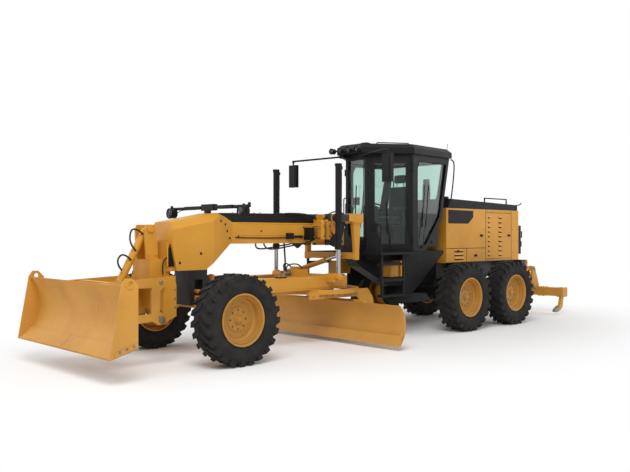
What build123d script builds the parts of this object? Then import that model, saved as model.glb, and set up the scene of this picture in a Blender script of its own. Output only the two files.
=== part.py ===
"""Motor grader with a front blade, a centre moldboard and a rear ripper.

Frame: +X forward, +Y to the driver's left, +Z up, millimetres. The origin is on the ground, at
the middle of the machine's whole length and width.
"""
from build123d import *
import math
import os

# ---------------------------------------------------------------- driving dimensions
# Wheels and axles
wheel_base = 5917            # front axle to the middle of the tandem
tandem_spacing = 1511        # between the two rear axles
track = 2140                 # between tyre centre lines
tyre_radius = 610
tyre_width = 371
tyre_shoulder = 45           # how far the tread's edge is cut back
rim_radius = 343
rim_wall = 18
axle_z = tyre_radius

# Reach of the whole machine from the front axle
front_reach = 1960           # to the front blade's cutting edge
bumper_end = 8230            # to the back of the bumper casting
ripper_frame_pin_back = bumper_end + 190
ripper_link_length = 480
ripper_mast_pin_back = ripper_frame_pin_back + ripper_link_length
rear_reach = ripper_mast_pin_back + 280
front_axle_x = (rear_reach - front_reach) / 2
tandem_x = front_axle_x - wheel_base

# Front frame
beam_width = 255
beam_bottom_z = 1600
beam_top_z = 1921
hitch_back = 4950            # front axle to the articulation pins
hitch_x = front_axle_x - hitch_back
hitch_pin_radius = 55
running_gap = 0.6            # radial clearance of pins and rods that turn or slide
side_gap = 0.6               # clearance between an eye and its ears
seat_gap = 0.3               # clearance of a piece against its seat on another body

# Wheel lean and steering
lean_y = 735                 # lean pins from the centre line
lean_z = 600
lean_bar_z = 930
lean_pin_radius = 28
kingpin_y = 868
kingpin_radius = 34
spindle_radius = 50
lug_radius = 45
lug_half_width = 60          # axle lug, along X
yoke_cheek = 36

# Drawbar, circle and moldboard
ball_back = 350              # front axle to the drawbar's ball
ball_z = 1080
circle_back = 2400
circle_outer_radius = 765
circle_inner_radius = 690
circle_bottom_z = 800
circle_top_z = 872
arm_y = 600                  # blade arms from the centre line
arm_thickness = 40
moldboard_length = 3660
moldboard_radius = 413
moldboard_thickness = 22
moldboard_bottom_z = 70
moldboard_height = 610
edge_height = 152
edge_thickness = 16
tip_pin_back = 2930
tip_pin_z = 430
tip_pin_radius = 30

# Lift cylinders of the moldboard
lift_y = 750
lift_trunnion_back = 2250
lift_trunnion_z = 2000
lift_foot_back = 2250
lift_foot_z = 1075
lift_barrel_radius = 50
lift_barrel_top_z = 2850
lift_barrel_bottom_z = 1505
lift_rod_radius = 35

# Centre shift cylinder of the drawbar
shift_back = 2715
shift_high_y = 300
shift_high_z = 1390
shift_low_y = -700
shift_low_z = 1120
shift_rod_radius = 25
shift_pin_radius = 22
shift_eye_half = 35
shift_foot_rear = 35
shift_foot_front = 45
shift_bracket_gap = 5
shift_eye_radius = 46

# Front blade
dozer_half_width = 1300
dozer_pin_ahead = 768
dozer_pin_z = 613
dozer_hub_z = 1105
dozer_frame_y = 450
dozer_bottom_z = 310
dozer_top_z = 1150
dozer_tower_ahead = 740
dozer_tower_z = 1800

# Cab
cab_front_back = 3450        # front axle to the windscreen
cab_front_half = 250
cab_shoulder_back = 4050     # where the slanted front meets the side
cab_half_width = 800
cab_rear_back = 5200
cab_rear_half = 720
cab_floor_z = 1450
cab_roof_top_z = 3308
cab_wall_top_z = cab_roof_top_z - 168
window_top_z = cab_wall_top_z - 100
cab_wall = 60
glass_thickness = 8

# Engine end
hood_front_back = 5340
hood_rear_back = 7880
hood_half_width = 550
hood_bottom_z = 1200
hood_top_z = 2240
hood_wall = 30
cover_top_z = 2420

# Ripper: a parallelogram of upper and lower links
ripper_upper_z = 985
ripper_lower_z = 560
ripper_ear_y = 300
ripper_ear = 50
ripper_link = 44
ripper_pin_radius = 28
ripper_beam_z = 480
ripper_beam_height = 180
ripper_beam_depth = 200
ripper_half_width = 980
shank_spacing = 450

os.makedirs("parts", exist_ok=True)
finished = []


# ---------------------------------------------------------------- helpers
def ahead(distance):
    """Station along X, counted forward from the front axle."""
    return front_axle_x + distance


def back(distance):
    """Station along X, counted back from the front axle."""
    return front_axle_x - distance


def across(y):
    """Plane that stands fore and aft at this y: sketch x is X, sketch y is Z."""
    return Plane(origin=(0, y, 0), x_dir=(1, 0, 0), z_dir=(0, -1, 0))


def facing(x):
    """Plane square to the machine's length at this X: sketch x is Y, sketch y is Z."""
    return Plane(origin=(x, 0, 0), x_dir=(0, 1, 0), z_dir=(1, 0, 0))


def level(z):
    """Level plane at this height: sketch x is X, sketch y is Y."""
    return Plane.XY.offset(z)


def plate(plane, outline, thickness, mode=Mode.ADD, round_by=0, slide=0):
    """Flat plate with a straight-sided outline, centred on its plane or slid along its normal."""
    with BuildSketch(plane.offset(slide)) as face:
        with BuildLine():
            Polyline(*outline, close=True)
        make_face()
        if round_by:
            fillet(face.vertices(), radius=round_by)
    extrude(face.sketch, amount=thickness / 2, both=True, mode=mode)


def bar(start, end, radius, mode=Mode.ADD):
    """Round bar or bore from one point to another."""
    start = Vector(start)
    along = Vector(end) - start
    with BuildSketch(Plane(origin=start, z_dir=along)) as section:
        Circle(radius)
    extrude(section.sketch, amount=along.length, mode=mode)


def block(low, high, mode=Mode.ADD):
    """Square block from its lowest to its highest corner."""
    size = [b - a for a, b in zip(low, high)]
    middle = [(a + b) / 2 for a, b in zip(low, high)]
    with Locations(tuple(middle)):
        Box(*size, mode=mode)


def keep(name, builder):
    """Label a finished piece and put it on the list to write."""
    builder.part.label = name
    finished.append(builder.part)


# ---------------------------------------------------------------- wheels
def wheel_plane(x, y):
    """Half-section plane of a wheel: sketch x runs outboard along the axle, sketch y up."""
    side = math.copysign(1, y)
    return Plane(origin=(x, y, axle_z), x_dir=(0, side, 0), z_dir=(side, 0, 0))


lug_count = 24               # on each half of a tyre
lug_height = 24
lug_reach = 92               # how far a lug's corners lie from its radial plane, along the tread
carcass_radius = tyre_radius - lug_height
with BuildPart() as tyre_shape:
    half = tyre_width / 2
    bead = half - 45
    with BuildSketch(Plane(origin=(0, 0, 0), x_dir=(0, 1, 0), z_dir=(1, 0, 0))) as section:
        with BuildLine():
            Line((-bead, rim_radius), (bead, rim_radius))
            ThreePointArc((bead, rim_radius), (half, 470), (half - 8, carcass_radius - tyre_shoulder))
            Line((half - 8, carcass_radius - tyre_shoulder), (half - 45, carcass_radius))
            Line((half - 45, carcass_radius), (45 - half, carcass_radius))
            Line((45 - half, carcass_radius), (8 - half, carcass_radius - tyre_shoulder))
            ThreePointArc((8 - half, carcass_radius - tyre_shoulder), (-half, 470), (-bead, rim_radius))
        make_face()
    revolve(axis=Axis((0, 0, 0), (0, 1, 0)))
    # chevron lugs: each is a slanted block, level with the tyre's full radius at its corners
    lug_top = math.sqrt(tyre_radius ** 2 - lug_reach ** 2)
    for side in (1, -1):
        for index in range(lug_count):
            turn = -90 + math.degrees(math.asin(lug_reach / tyre_radius)) + (index + side / 4 - 0.25) * 360 / lug_count
            out = Vector(math.cos(math.radians(turn)), 0, math.sin(math.radians(turn)))
            foot = Plane(origin=out * (carcass_radius - 60), x_dir=(0, 1, 0), z_dir=out)
            with BuildSketch(foot) as lug:
                with BuildLine():
                    Polyline((side * 10, lug_reach), (side * 10, lug_reach - 78), (side * half, -lug_reach),
                             (side * half, 72 - lug_reach), close=True)
                make_face()
            extrude(lug.sketch, amount=lug_top - carcass_radius + 60)


def make_tyre(name, x, y):
    tyre = tyre_shape.part.moved(Location((x, y, axle_z)))
    tyre.label = name
    finished.append(tyre)


spindle_tip = 4              # how far past the wheel's middle a spindle reaches, outboard
hub_face = -60               # inboard face of a hub, from the wheel's middle
hub_radius = 108
disc_face = 22               # outer face of a wheel's disc, from the wheel's middle
stub_radius = 85


def make_rim(name, x, y, spindle, holes):
    """Dished rim with a flat disc. Its hub is bored from inboard for the spindle that carries it."""
    half = tyre_width / 2
    barrel = half - 30
    side = math.copysign(1, y)
    with BuildPart() as rim:
        # outline: along the axle from inboard, radius
        outline = [(-barrel, rim_radius), (barrel, rim_radius), (barrel, rim_radius - rim_wall), (118, 314), (110, 296),
                   (44, 286), (disc_face, 258), (disc_face, 172), (disc_face + 8, 160), (disc_face + 8, 74),
                   (disc_face + 20, 62), (disc_face + 20, 0), (hub_face, 0), (hub_face, hub_radius), (-6, hub_radius),
                   (-6, 262), (26, 304), (-barrel, rim_radius - rim_wall)]
        with BuildSketch(wheel_plane(x, y)) as section:
            with BuildLine():
                Polyline(*outline, close=True)
            make_face()
        revolve(axis=Axis((x, y, axle_z), (0, 1, 0)))
        bar((x, y + side * (hub_face - 1), axle_z), (x, y + side * (spindle_tip + running_gap), axle_z),
            spindle + running_gap, mode=Mode.SUBTRACT)
        if holes:
            with BuildSketch(Plane(origin=(x, y, axle_z), x_dir=(1, 0, 0), z_dir=(0, side, 0))) as ring:
                with PolarLocations(128, holes):
                    Circle(15)
            extrude(ring.sketch, amount=60, mode=Mode.SUBTRACT)
            extrude(ring.sketch, amount=-20, mode=Mode.SUBTRACT)
    keep(name, rim)


# name, distance behind the front axle, side
REAR_WHEELS = [(f"{place}_{hand}", tandem_x + shift * tandem_spacing / 2, side)
               for place, shift in (("mid", 1), ("rear", -1))
               for hand, side in (("left", 1), ("right", -1))]
FRONT_WHEELS = [("front_left", front_axle_x, 1), ("front_right", front_axle_x, -1)]
for wheel, x, side in REAR_WHEELS:
    make_tyre(f"tyre_{wheel}", x, side * track / 2)
    make_rim(f"rim_{wheel}", x, side * track / 2, stub_radius, 0)
for wheel, x, side in FRONT_WHEELS:
    make_tyre(f"tyre_{wheel}", x, side * track / 2)
    make_rim(f"rim_{wheel}", x, side * track / 2, spindle_radius, 8)

# ---------------------------------------------------------------- rear frame, axle and tandems
tandem_inner_y = 640
tandem_width = 210
tandem_half_height = 253
rail_y = 330
rail_width = 110
rail_bottom_z = 900
rail_top_z = hood_bottom_z
hitch_lower_z = 800
hitch_upper_z = 1270
hitch_ear = 60
hitch_eye_height = 120
bumper_back = bumper_end - 250

with BuildPart() as tandem_cases:
    for side in (1, -1):
        with BuildSketch(across(side * (tandem_inner_y + tandem_width / 2))) as case:
            with Locations((tandem_x, axle_z)):
                SlotCenterToCenter(tandem_spacing, 2 * tandem_half_height)
        extrude(case.sketch, amount=tandem_width / 2, both=True)
        for shift in (1, -1):
            wheel_x = tandem_x + shift * tandem_spacing / 2
            bar((wheel_x, side * (tandem_inner_y + tandem_width), axle_z),
                (wheel_x, side * (track / 2 + spindle_tip), axle_z), stub_radius)
            bar((wheel_x, side * (tandem_inner_y + tandem_width), axle_z),
                (wheel_x, side * (tandem_inner_y + tandem_width + 60), axle_z), 150)
keep("tandem_cases", tandem_cases)

with BuildPart() as rear_axle:
    bar((tandem_x, -tandem_inner_y, axle_z + 60), (tandem_x, tandem_inner_y, axle_z + 60), 125)
    bar((tandem_x, -200, axle_z + 60), (tandem_x, 200, axle_z + 60), 225)
    block((tandem_x - 170, -rail_y - rail_width / 2, axle_z + 60), (tandem_x + 170, rail_y + rail_width / 2, rail_bottom_z))
keep("rear_axle", rear_axle)

with BuildPart() as rear_frame:
    for side in (1, -1):
        block((back(bumper_back), side * rail_y - rail_width / 2, rail_bottom_z),
              (back(5250), side * rail_y + rail_width / 2, rail_top_z))
    # bumper casting across the back
    block((back(bumper_end), -560, 820), (back(bumper_back), 560, rail_top_z))
    # cross members
    for station in (5700, 7400):
        block((back(station) - 60, -hood_half_width, rail_bottom_z + 180), (back(station) + 60, hood_half_width, rail_top_z))
    # hitch block with its ears
    block((back(hood_front_back) + 5, -rail_y, hitch_lower_z - hitch_ear), (back(5250), rail_y, hitch_upper_z + 180))
    for low, high in ((hitch_lower_z - hitch_ear, hitch_lower_z), (hitch_lower_z + hitch_eye_height,
                      hitch_lower_z + hitch_eye_height + hitch_ear),
                      (hitch_upper_z - hitch_ear, hitch_upper_z),
                      (hitch_upper_z + hitch_eye_height, hitch_upper_z + hitch_eye_height + hitch_ear)):
        with BuildSketch(level((low + high) / 2)) as ear:
            with BuildLine():
                Polyline((back(5260), -260), (back(hitch_back), -110), (back(hitch_back), 110),
                         (back(5260), 260), close=True)
            make_face()
            with Locations((hitch_x, 0)):
                Circle(110)
        extrude(ear.sketch, amount=(high - low) / 2, both=True)
    # hitch pins
    for foot in (hitch_lower_z, hitch_upper_z):
        bar((hitch_x, 0, foot - hitch_ear), (hitch_x, 0, foot + hitch_eye_height + hitch_ear),
            hitch_pin_radius)
    # ripper ears
    pin_back = ripper_frame_pin_back
    for side in (1, -1):
        plate(across(side * ripper_ear_y), [(back(bumper_end), 760), (back(bumper_end), 1120),
              (back(pin_back + 20), ripper_upper_z + 55), (back(pin_back + 50), ripper_upper_z),
              (back(pin_back + 20), ripper_upper_z - 55), (back(pin_back - 70), 880),
              (back(pin_back - 70), 660), (back(pin_back + 20), ripper_lower_z + 55),
              (back(pin_back + 50), ripper_lower_z), (back(pin_back + 10), ripper_lower_z - 50),
              (back(bumper_end + 30), ripper_lower_z - 20)], ripper_ear)
        for pin_z in (ripper_upper_z, ripper_lower_z):
            bar((back(pin_back), side * (ripper_ear_y - ripper_ear / 2), pin_z),
                (back(pin_back), side * (ripper_ear_y - ripper_ear / 2 - side_gap - ripper_link - 6), pin_z),
                ripper_pin_radius)
    # lug for the ripper's cylinder
    for side in (1, -1):
        low_y, high_y = sorted((side * (45 + side_gap), side * 85))
        plate(across((low_y + high_y) / 2), [(back(8170), 880), (back(8170), 740), (back(8320), 590),
              (back(8360), 620), (back(8350), 700), (back(8250), 880)], high_y - low_y)
keep("rear_frame", rear_frame)

with BuildPart() as engine:
    engine_half = rail_y - rail_width / 2
    block((back(7150), -engine_half, rail_bottom_z + 40), (back(5950), engine_half, 2000))
keep("engine", engine)

# ---------------------------------------------------------------- hood
louvre_height = 38
LOUVRES = [
    # distance behind the front axle, length of a slot, rows, lowest slot, pitch
    (5600, 290, 3, 1250, 75),
    (6740, 70, 9, 1300, 95),
    (7120, 120, 9, 1300, 95),
]
grille_half = 400
grille_bays = 8
grille_bar = 30
with BuildPart() as hood:
    hood_low = (back(hood_rear_back), -hood_half_width, hood_bottom_z)
    hood_high = (back(hood_front_back), hood_half_width, hood_top_z)
    block(hood_low, hood_high)
    block((hood_low[0] + hood_wall, hood_low[1] + hood_wall, hood_low[2] - 1),
          (hood_high[0] - hood_wall, hood_high[1] - hood_wall, hood_high[2] - hood_wall),
          mode=Mode.SUBTRACT)
    # louvre slots through both sides
    for slot_back, slot_length, rows, first_z, pitch in LOUVRES:
        for row in range(rows):
            slot_z = first_z + row * pitch
            block((back(slot_back + slot_length), -hood_half_width - 1, slot_z),
                  (back(slot_back), hood_half_width + 1, slot_z + louvre_height), mode=Mode.SUBTRACT)
    # fan grille in the rear wall, between vertical bars
    for bay in range(grille_bays):
        low_y = -grille_half + bay * 2 * grille_half / grille_bays
        block((back(hood_rear_back) - 1, low_y, 1420), (back(hood_rear_back) + hood_wall + 1,
              low_y + 2 * grille_half / grille_bays - grille_bar, 2080), mode=Mode.SUBTRACT)
keep("hood", hood)

with BuildPart() as hood_cover:
    plate(across(0), [(back(hood_rear_back), hood_top_z), (back(5440), hood_top_z),
          (back(5500), cover_top_z), (back(hood_rear_back), cover_top_z - 60)], 2 * hood_half_width - 60)
    # exhaust stack and air cleaner cap
    bar((back(5780), -260, cover_top_z - 20), (back(5780), -260, cover_top_z + 420), 62)
    bar((back(6250), -220, cover_top_z - 40), (back(6250), -220, cover_top_z + 90), 130)
    # grab rails along both edges
    for side in (1, -1):
        for post_back in (6700, 7500):
            block((back(post_back) - 10, side * 490 - 10, cover_top_z - 60),
                  (back(post_back) + 10, side * 490 + 10, cover_top_z + 60))
        bar((back(7510), side * 490, cover_top_z + 50), (back(6690), side * 490, cover_top_z + 50), 12)
keep("hood_cover", hood_cover)

guard_back = hood_rear_back + 130
with BuildPart() as rear_guard:
    for low_z, high_z in ((1330, 1410), (1870, 1930)):
        block((back(guard_back), -530, low_z), (back(hood_rear_back), 530, high_z))
    for side in (1, -1):
        low_y, high_y = sorted((side * 450, side * 530))
        block((back(guard_back), low_y, 1330), (back(hood_rear_back), high_y, 1930))
        # rear lamp and a pull handle
        low_y, high_y = sorted((side * 460, side * 520))
        block((back(guard_back + 50), low_y, 1480), (back(guard_back), high_y, 1600))
        for grip_z in (1670, 1790):
            block((back(guard_back + 90), side * 500 - 9, grip_z), (back(guard_back), side * 500 + 9, grip_z + 18))
        block((back(guard_back + 90), side * 500 - 9, 1670), (back(guard_back + 72), side * 500 + 9, 1808))
keep("rear_guard", rear_guard)

# ---------------------------------------------------------------- front frame
nose_half = 300
neck_top_z = 1390
leg_half = 190
leg_inner = 70
oscillation_z = 820
with BuildPart() as front_frame:
    # box beam, then the neck that drops under the cab to the hitch
    plate(across(0), [(back(200), beam_top_z), (back(2970), beam_top_z), (back(3420), neck_top_z),
          (back(hitch_back), neck_top_z), (back(hitch_back), 800), (back(4200), 800), (back(3420), 1180),
          (back(3000), beam_bottom_z), (back(200), beam_bottom_z)], beam_width)
    # nose bolster
    plate(across(0), [(ahead(500), 1560), (ahead(500), 1660), (ahead(460), 1910), (back(310), 2050), (back(640), beam_top_z),
          (back(640), 1630), (back(50), 1240), (ahead(430), 1240)], 2 * nose_half)
    ridges = [edge for edge in front_frame.edges()
              if abs(abs((edge @ 0.5).Y) - nose_half) < 1 and (edge @ 0).Z > 1900 and (edge @ 1).Z > 1900]
    chamfer(ridges, length=100)
    block((ahead(250), -nose_half + 40, 1200), (ahead(600), nose_half - 40, 1600), mode=Mode.SUBTRACT)
    for side in (1, -1):
        plate(level(1650), [(back(180), side * (nose_half + 1)), (back(641), side * (nose_half + 1)),
              (back(641), side * beam_width / 2)], 900, mode=Mode.SUBTRACT)
    # leg down to the axle, forked round its centre
    block((back(150), -leg_half, oscillation_z - 80), (ahead(150), leg_half, 1260))
    block((back(leg_inner), -leg_half - 1, oscillation_z - 90), (ahead(leg_inner), leg_half + 1, 1100),
          mode=Mode.SUBTRACT)
    # drawbar socket
    bar((back(150), 0, ball_z), (back(ball_back - 80), 0, ball_z), 70)
    with Locations((back(ball_back), 0, ball_z)):
        Sphere(80 + running_gap, mode=Mode.SUBTRACT)
    # hitch eyes
    for foot in (hitch_lower_z, hitch_upper_z):
        bar((hitch_x, 0, foot + side_gap), (hitch_x, 0, foot + hitch_eye_height - side_gap), 100)
        block((hitch_x, -100, foot + side_gap), (hitch_x + 300, 100, foot + hitch_eye_height - side_gap))
    # clear the frame's end from the ears between and around the eyes
    for low, high in ((hitch_lower_z - 100, hitch_lower_z + side_gap),
                      (hitch_lower_z + hitch_eye_height - side_gap, hitch_upper_z + side_gap),
                      (hitch_upper_z + hitch_eye_height - side_gap, hitch_upper_z + 400)):
        block((hitch_x - 130, -beam_width, low), (hitch_x + 135, beam_width, high), mode=Mode.SUBTRACT)
    block((hitch_x - 130, 101, 700), (hitch_x + 135, beam_width, 1600), mode=Mode.SUBTRACT)
    block((hitch_x - 130, -beam_width, 700), (hitch_x + 135, -101, 1600), mode=Mode.SUBTRACT)
    bar((hitch_x, 0, 700), (hitch_x, 0, 1600), hitch_pin_radius + running_gap, mode=Mode.SUBTRACT)
keep("front_frame", front_frame)

# ---------------------------------------------------------------- front axle and its linkage
beam_half_x = 55
axle_arch_z = 870
with BuildPart() as front_axle:
    plate(facing(front_axle_x), [(-690, 530), (-690, 680), (-360, axle_arch_z), (360, axle_arch_z),
          (690, 680), (690, 530), (330, 700), (-330, 700)], 2 * beam_half_x)
    for side in (1, -1):
        bar((back(lug_half_width), side * lean_y, lean_z), (ahead(lug_half_width), side * lean_y, lean_z),
            lug_radius)
        block((back(beam_half_x), min(side * 650, side * lean_y), lean_z - 40),
              (ahead(beam_half_x), max(side * 650, side * lean_y), lean_z + 40))
        bar((back(120), side * lean_y, lean_z), (ahead(120), side * lean_y, lean_z), lean_pin_radius)
    # pivot block in the fork of the frame's leg
    block((back(leg_inner), -150, 700), (ahead(leg_inner), 150, axle_arch_z))
keep("front_axle", front_axle)

for hand, side in (("left", 1), ("right", -1)):
    kingpin_top = lean_z + 150
    kingpin_low = lean_z - 130
    with BuildPart() as yoke:
        cheek_mid = lug_half_width + side_gap + yoke_cheek / 2
        for way in (1, -1):
            plate(facing(front_axle_x + way * cheek_mid),
                  [(side * (lean_y - 45), lean_z - 60), (side * (lean_y + 70), lean_z - 110),
                   (side * (lean_y + 70), lean_z + 170), (side * (lean_y + 30), lean_z + 250),
                   (side * (lean_y + 30), lean_bar_z + 35), (side * (lean_y - 30), lean_bar_z + 35),
                   (side * (lean_y - 30), lean_z + 250), (side * (lean_y - 45), lean_z + 60)], yoke_cheek)
        half_x = lug_half_width + side_gap + yoke_cheek
        low_y, high_y = sorted((side * (lean_y + 58), side * (lean_y + 80)))
        block((front_axle_x - half_x, low_y, kingpin_low - 60), (front_axle_x + half_x, high_y, kingpin_top + 60))
        for low, high in ((kingpin_low - 60, kingpin_low), (kingpin_top, kingpin_top + 60)):
            with BuildSketch(level((low + high) / 2)) as boss:
                with Locations((front_axle_x, side * kingpin_y)):
                    Circle(58)
                with Locations((front_axle_x, side * (lean_y + 95))):
                    Rectangle(116, 70)
            extrude(boss.sketch, amount=(high - low) / 2, both=True)
        bar((front_axle_x, side * kingpin_y, kingpin_low - 61),
            (front_axle_x, side * kingpin_y, kingpin_top + 61), kingpin_radius + running_gap, mode=Mode.SUBTRACT)
        bar((front_axle_x - half_x - 1, side * lean_y, lean_z), (front_axle_x + half_x + 1, side * lean_y, lean_z),
            lean_pin_radius + running_gap, mode=Mode.SUBTRACT)
        bar((front_axle_x - half_x - 10, side * lean_y, lean_bar_z),
            (front_axle_x + half_x + 10, side * lean_y, lean_bar_z), lean_pin_radius)
    keep(f"lean_yoke_{hand}", yoke)

    with BuildPart() as knuckle:
        bar((front_axle_x, side * kingpin_y, kingpin_low + side_gap),
            (front_axle_x, side * kingpin_y, kingpin_top - side_gap), 50)
        bar((front_axle_x, side * kingpin_y, kingpin_low - 110), (front_axle_x, side * kingpin_y, kingpin_top + 75),
            kingpin_radius)
        bar((front_axle_x, side * (kingpin_y + 20), axle_z),
            (front_axle_x, side * (track / 2 + hub_face - side_gap), axle_z), 80)
        bar((front_axle_x, side * kingpin_y, axle_z), (front_axle_x, side * (track / 2 + spindle_tip), axle_z),
            spindle_radius)
        # steering arm
        plate(level(kingpin_low - 85), [(ahead(50), side * (kingpin_y + 30)), (ahead(50), side * (kingpin_y - 30)),
              (back(150), side * (kingpin_y - 26)), (back(180), side * kingpin_y),
              (back(150), side * (kingpin_y + 26))], 46)
    keep(f"knuckle_{hand}", knuckle)

with BuildPart() as lean_bar:
    bar((front_axle_x, -lean_y, lean_bar_z), (front_axle_x, lean_y, lean_bar_z), 30)
    for side in (1, -1):
        bar((front_axle_x - lug_half_width, side * lean_y, lean_bar_z),
            (front_axle_x + lug_half_width, side * lean_y, lean_bar_z), 48)
        bar((front_axle_x - lug_half_width - 1, side * lean_y, lean_bar_z),
            (front_axle_x + lug_half_width + 1, side * lean_y, lean_bar_z), lean_pin_radius + running_gap,
            mode=Mode.SUBTRACT)
keep("lean_bar", lean_bar)

# ---------------------------------------------------------------- front blade and its mount
ear_thickness = 40
mount_ear_y = dozer_frame_y - ear_thickness - side_gap
tower_cheek_y = 120
tower_cheek = 30
dozer_pin_radius = 30
dozer_lug_ahead = 1240
dozer_lug_z = 900
dozer_eye_half = 35
with BuildPart() as dozer_mount:
    for side in (1, -1):
        # side plates that carry the blade frame's pins
        plate(across(side * mount_ear_y), [(ahead(520), 640), (ahead(520), 1060), (ahead(560), 1180),
              (ahead(700), 1180), (ahead(720), 1060), (ahead(720), 700), (ahead(820), 660),
              (ahead(820), 570), (ahead(730), 550)], ear_thickness)
        bar((ahead(dozer_pin_ahead), side * (mount_ear_y - ear_thickness / 2), dozer_pin_z),
            (ahead(dozer_pin_ahead), side * (dozer_frame_y + ear_thickness / 2 + 12), dozer_pin_z), 30)
        # tower cheeks
        plate(across(side * tower_cheek_y), [(ahead(620), 1400), (ahead(800), 1400), (ahead(830), 1800),
              (ahead(800), 1870), (ahead(680), 1870), (ahead(640), 1780)], tower_cheek)
        bar((ahead(dozer_tower_ahead), side * (tower_cheek_y - tower_cheek), dozer_tower_z),
            (ahead(dozer_tower_ahead), side * (tower_cheek_y + tower_cheek), dozer_tower_z),
            dozer_pin_radius + running_gap, mode=Mode.SUBTRACT)
    # front and back plates joining them
    block((ahead(520), -mount_ear_y, 700), (ahead(560), mount_ear_y, 1180))
    block((ahead(560), -230, 1100), (ahead(800), 230, 1400))
    block((ahead(500), -220, 1180), (ahead(560), 220, 1640))
    block((ahead(430), -250, 1235), (ahead(560), 250, 1300))
keep("dozer_mount", dozer_mount)

lift_eye_ahead = 1705
lift_eye_z = 1165
lift_eye_radius = 32
with BuildPart() as dozer_blade:
    edge = (front_axle_x + front_reach, dozer_bottom_z)
    top = (ahead(1800), dozer_top_z)
    with BuildSketch(across(0)) as section:
        with BuildLine():
            front = ThreePointArc(edge, (ahead(1690), 640), top)
            Line(top, (top[0] - 28, top[1]))
            rear = ThreePointArc((top[0] - 28, top[1]), (ahead(1662), 640), (edge[0] - 28, edge[1]))
            Line((edge[0] - 28, edge[1]), edge)
        make_face()
    extrude(section.sketch, amount=dozer_half_width - 20, both=True)
    for side in (1, -1):
        # end plates
        plate(across(side * (dozer_half_width - 10)),
              [(ahead(1600), dozer_bottom_z + 100), (edge[0], dozer_bottom_z), (ahead(1810), 1160),
               (ahead(1760), 1230), (ahead(1680), 1230), (ahead(1600), 1150)], 20)
        bar((ahead(lift_eye_ahead), side * (dozer_half_width - 30), lift_eye_z),
            (ahead(lift_eye_ahead), side * (dozer_half_width + 10), lift_eye_z), lift_eye_radius,
            mode=Mode.SUBTRACT)
        # frame plates, open in the middle
        plate(across(side * dozer_frame_y),
              [(ahead(710), 640), (ahead(720), 570), (ahead(800), 545), (ahead(900), 600), (ahead(1700), 560),
               (ahead(1668), 700), (ahead(1675), 950), (ahead(1690), 1130), (ahead(830), 1165),
               (ahead(760), 1170), (ahead(710), 1130), (ahead(720), 1060), (ahead(790), 1000),
               (ahead(800), 720)], ear_thickness)
        plate(across(side * dozer_frame_y), [(ahead(920), 700), (ahead(1500), 680), (ahead(1500), 1040),
              (ahead(920), 1040)], ear_thickness + 2, mode=Mode.SUBTRACT)
        bar((ahead(dozer_pin_ahead), side * (dozer_frame_y - 30), dozer_pin_z),
            (ahead(dozer_pin_ahead), side * (dozer_frame_y + 30), dozer_pin_z), 30 + running_gap,
            mode=Mode.SUBTRACT)
    # cross tubes and the cylinder's lug
    block((ahead(1400), -dozer_frame_y, 1060), (ahead(1520), dozer_frame_y, 1130))
    block((ahead(1180), -dozer_frame_y, 600), (ahead(1300), dozer_frame_y, 680))
    for side in (1, -1):
        plate(across(side * (dozer_eye_half + side_gap + 15)),
              [(ahead(1190), 680), (ahead(1185), 900), (ahead(1210), 950), (ahead(1270), 950), (ahead(1295), 900),
               (ahead(1290), 680)], 30)
keep("dozer_blade", dozer_blade)

dozer_top = Vector(ahead(dozer_tower_ahead), 0, dozer_tower_z)
dozer_low = Vector(ahead(dozer_lug_ahead), 0, dozer_lug_z)
dozer_way = (dozer_low - dozer_top).normalized()
dozer_length = (dozer_low - dozer_top).length
dozer_barrel_length = 800
with BuildPart() as dozer_barrel:
    bar(dozer_top, dozer_top + dozer_way * dozer_barrel_length, 52)
    bar((dozer_top.X, -tower_cheek_y - 30, dozer_tower_z), (dozer_top.X, tower_cheek_y + 30, dozer_tower_z),
        dozer_pin_radius)
    bar(dozer_top + dozer_way * 80, dozer_top + dozer_way * (dozer_barrel_length + 1), 28 + running_gap,
        mode=Mode.SUBTRACT)
keep("dozer_barrel", dozer_barrel)
with BuildPart() as dozer_rod:
    bar(dozer_top + dozer_way * 260, dozer_low, 28)
    bar((dozer_low.X, -dozer_eye_half, dozer_lug_z), (dozer_low.X, dozer_eye_half, dozer_lug_z), 48)
keep("dozer_rod", dozer_rod)

# ---------------------------------------------------------------- lift saddle
with BuildPart() as lift_saddle:
    saddle_y = beam_width / 2
    saddle_foot_z = 1320     # the circle's back passes below it at full lift
    for side in (1, -1):
        low_y, high_y = sorted((side * saddle_y, side * (saddle_y + 50)))
        block((back(2960), low_y, 1560), (back(2560), high_y, 2080))
        low_y, high_y = sorted((side * saddle_y, side * 620))
        block((back(2960), low_y, 1960), (back(2700), high_y, 2080))
        # drop arm to the link bar
        plate(across(side * 575), [(back(2930), 2080), (back(2720), 2080), (back(2790), 1500),
              (back(2790), saddle_foot_z), (back(2880), saddle_foot_z), (back(2885), 1500)], 60)
        # trunnion fork reaching forward
        low_y, high_y = sorted((side * 590, side * 650))
        block((back(2760), low_y, 1950), (back(2180), high_y, 2060))
        bar((back(lift_trunnion_back), side * 600, lift_trunnion_z),
            (back(lift_trunnion_back), side * (lift_y - lift_barrel_radius - side_gap), lift_trunnion_z), 45)
    block((back(2960), -620, beam_top_z), (back(2700), 620, 2080))
    block((back(2870), -600, 1335), (back(2775), 600, 1440))
    # pin that holds the centre shift cylinder's rod
    bar((back(2776), shift_high_y, shift_high_z), (back(shift_back - shift_eye_half - 6), shift_high_y, shift_high_z),
        shift_pin_radius)
keep("lift_saddle", lift_saddle)

with BuildPart() as beam_cover:
    plate(across(0), [(back(700), beam_top_z), (back(760), 2060), (back(2300), 2070), (back(2480), beam_top_z)], 190)
keep("beam_cover", beam_cover)

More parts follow.
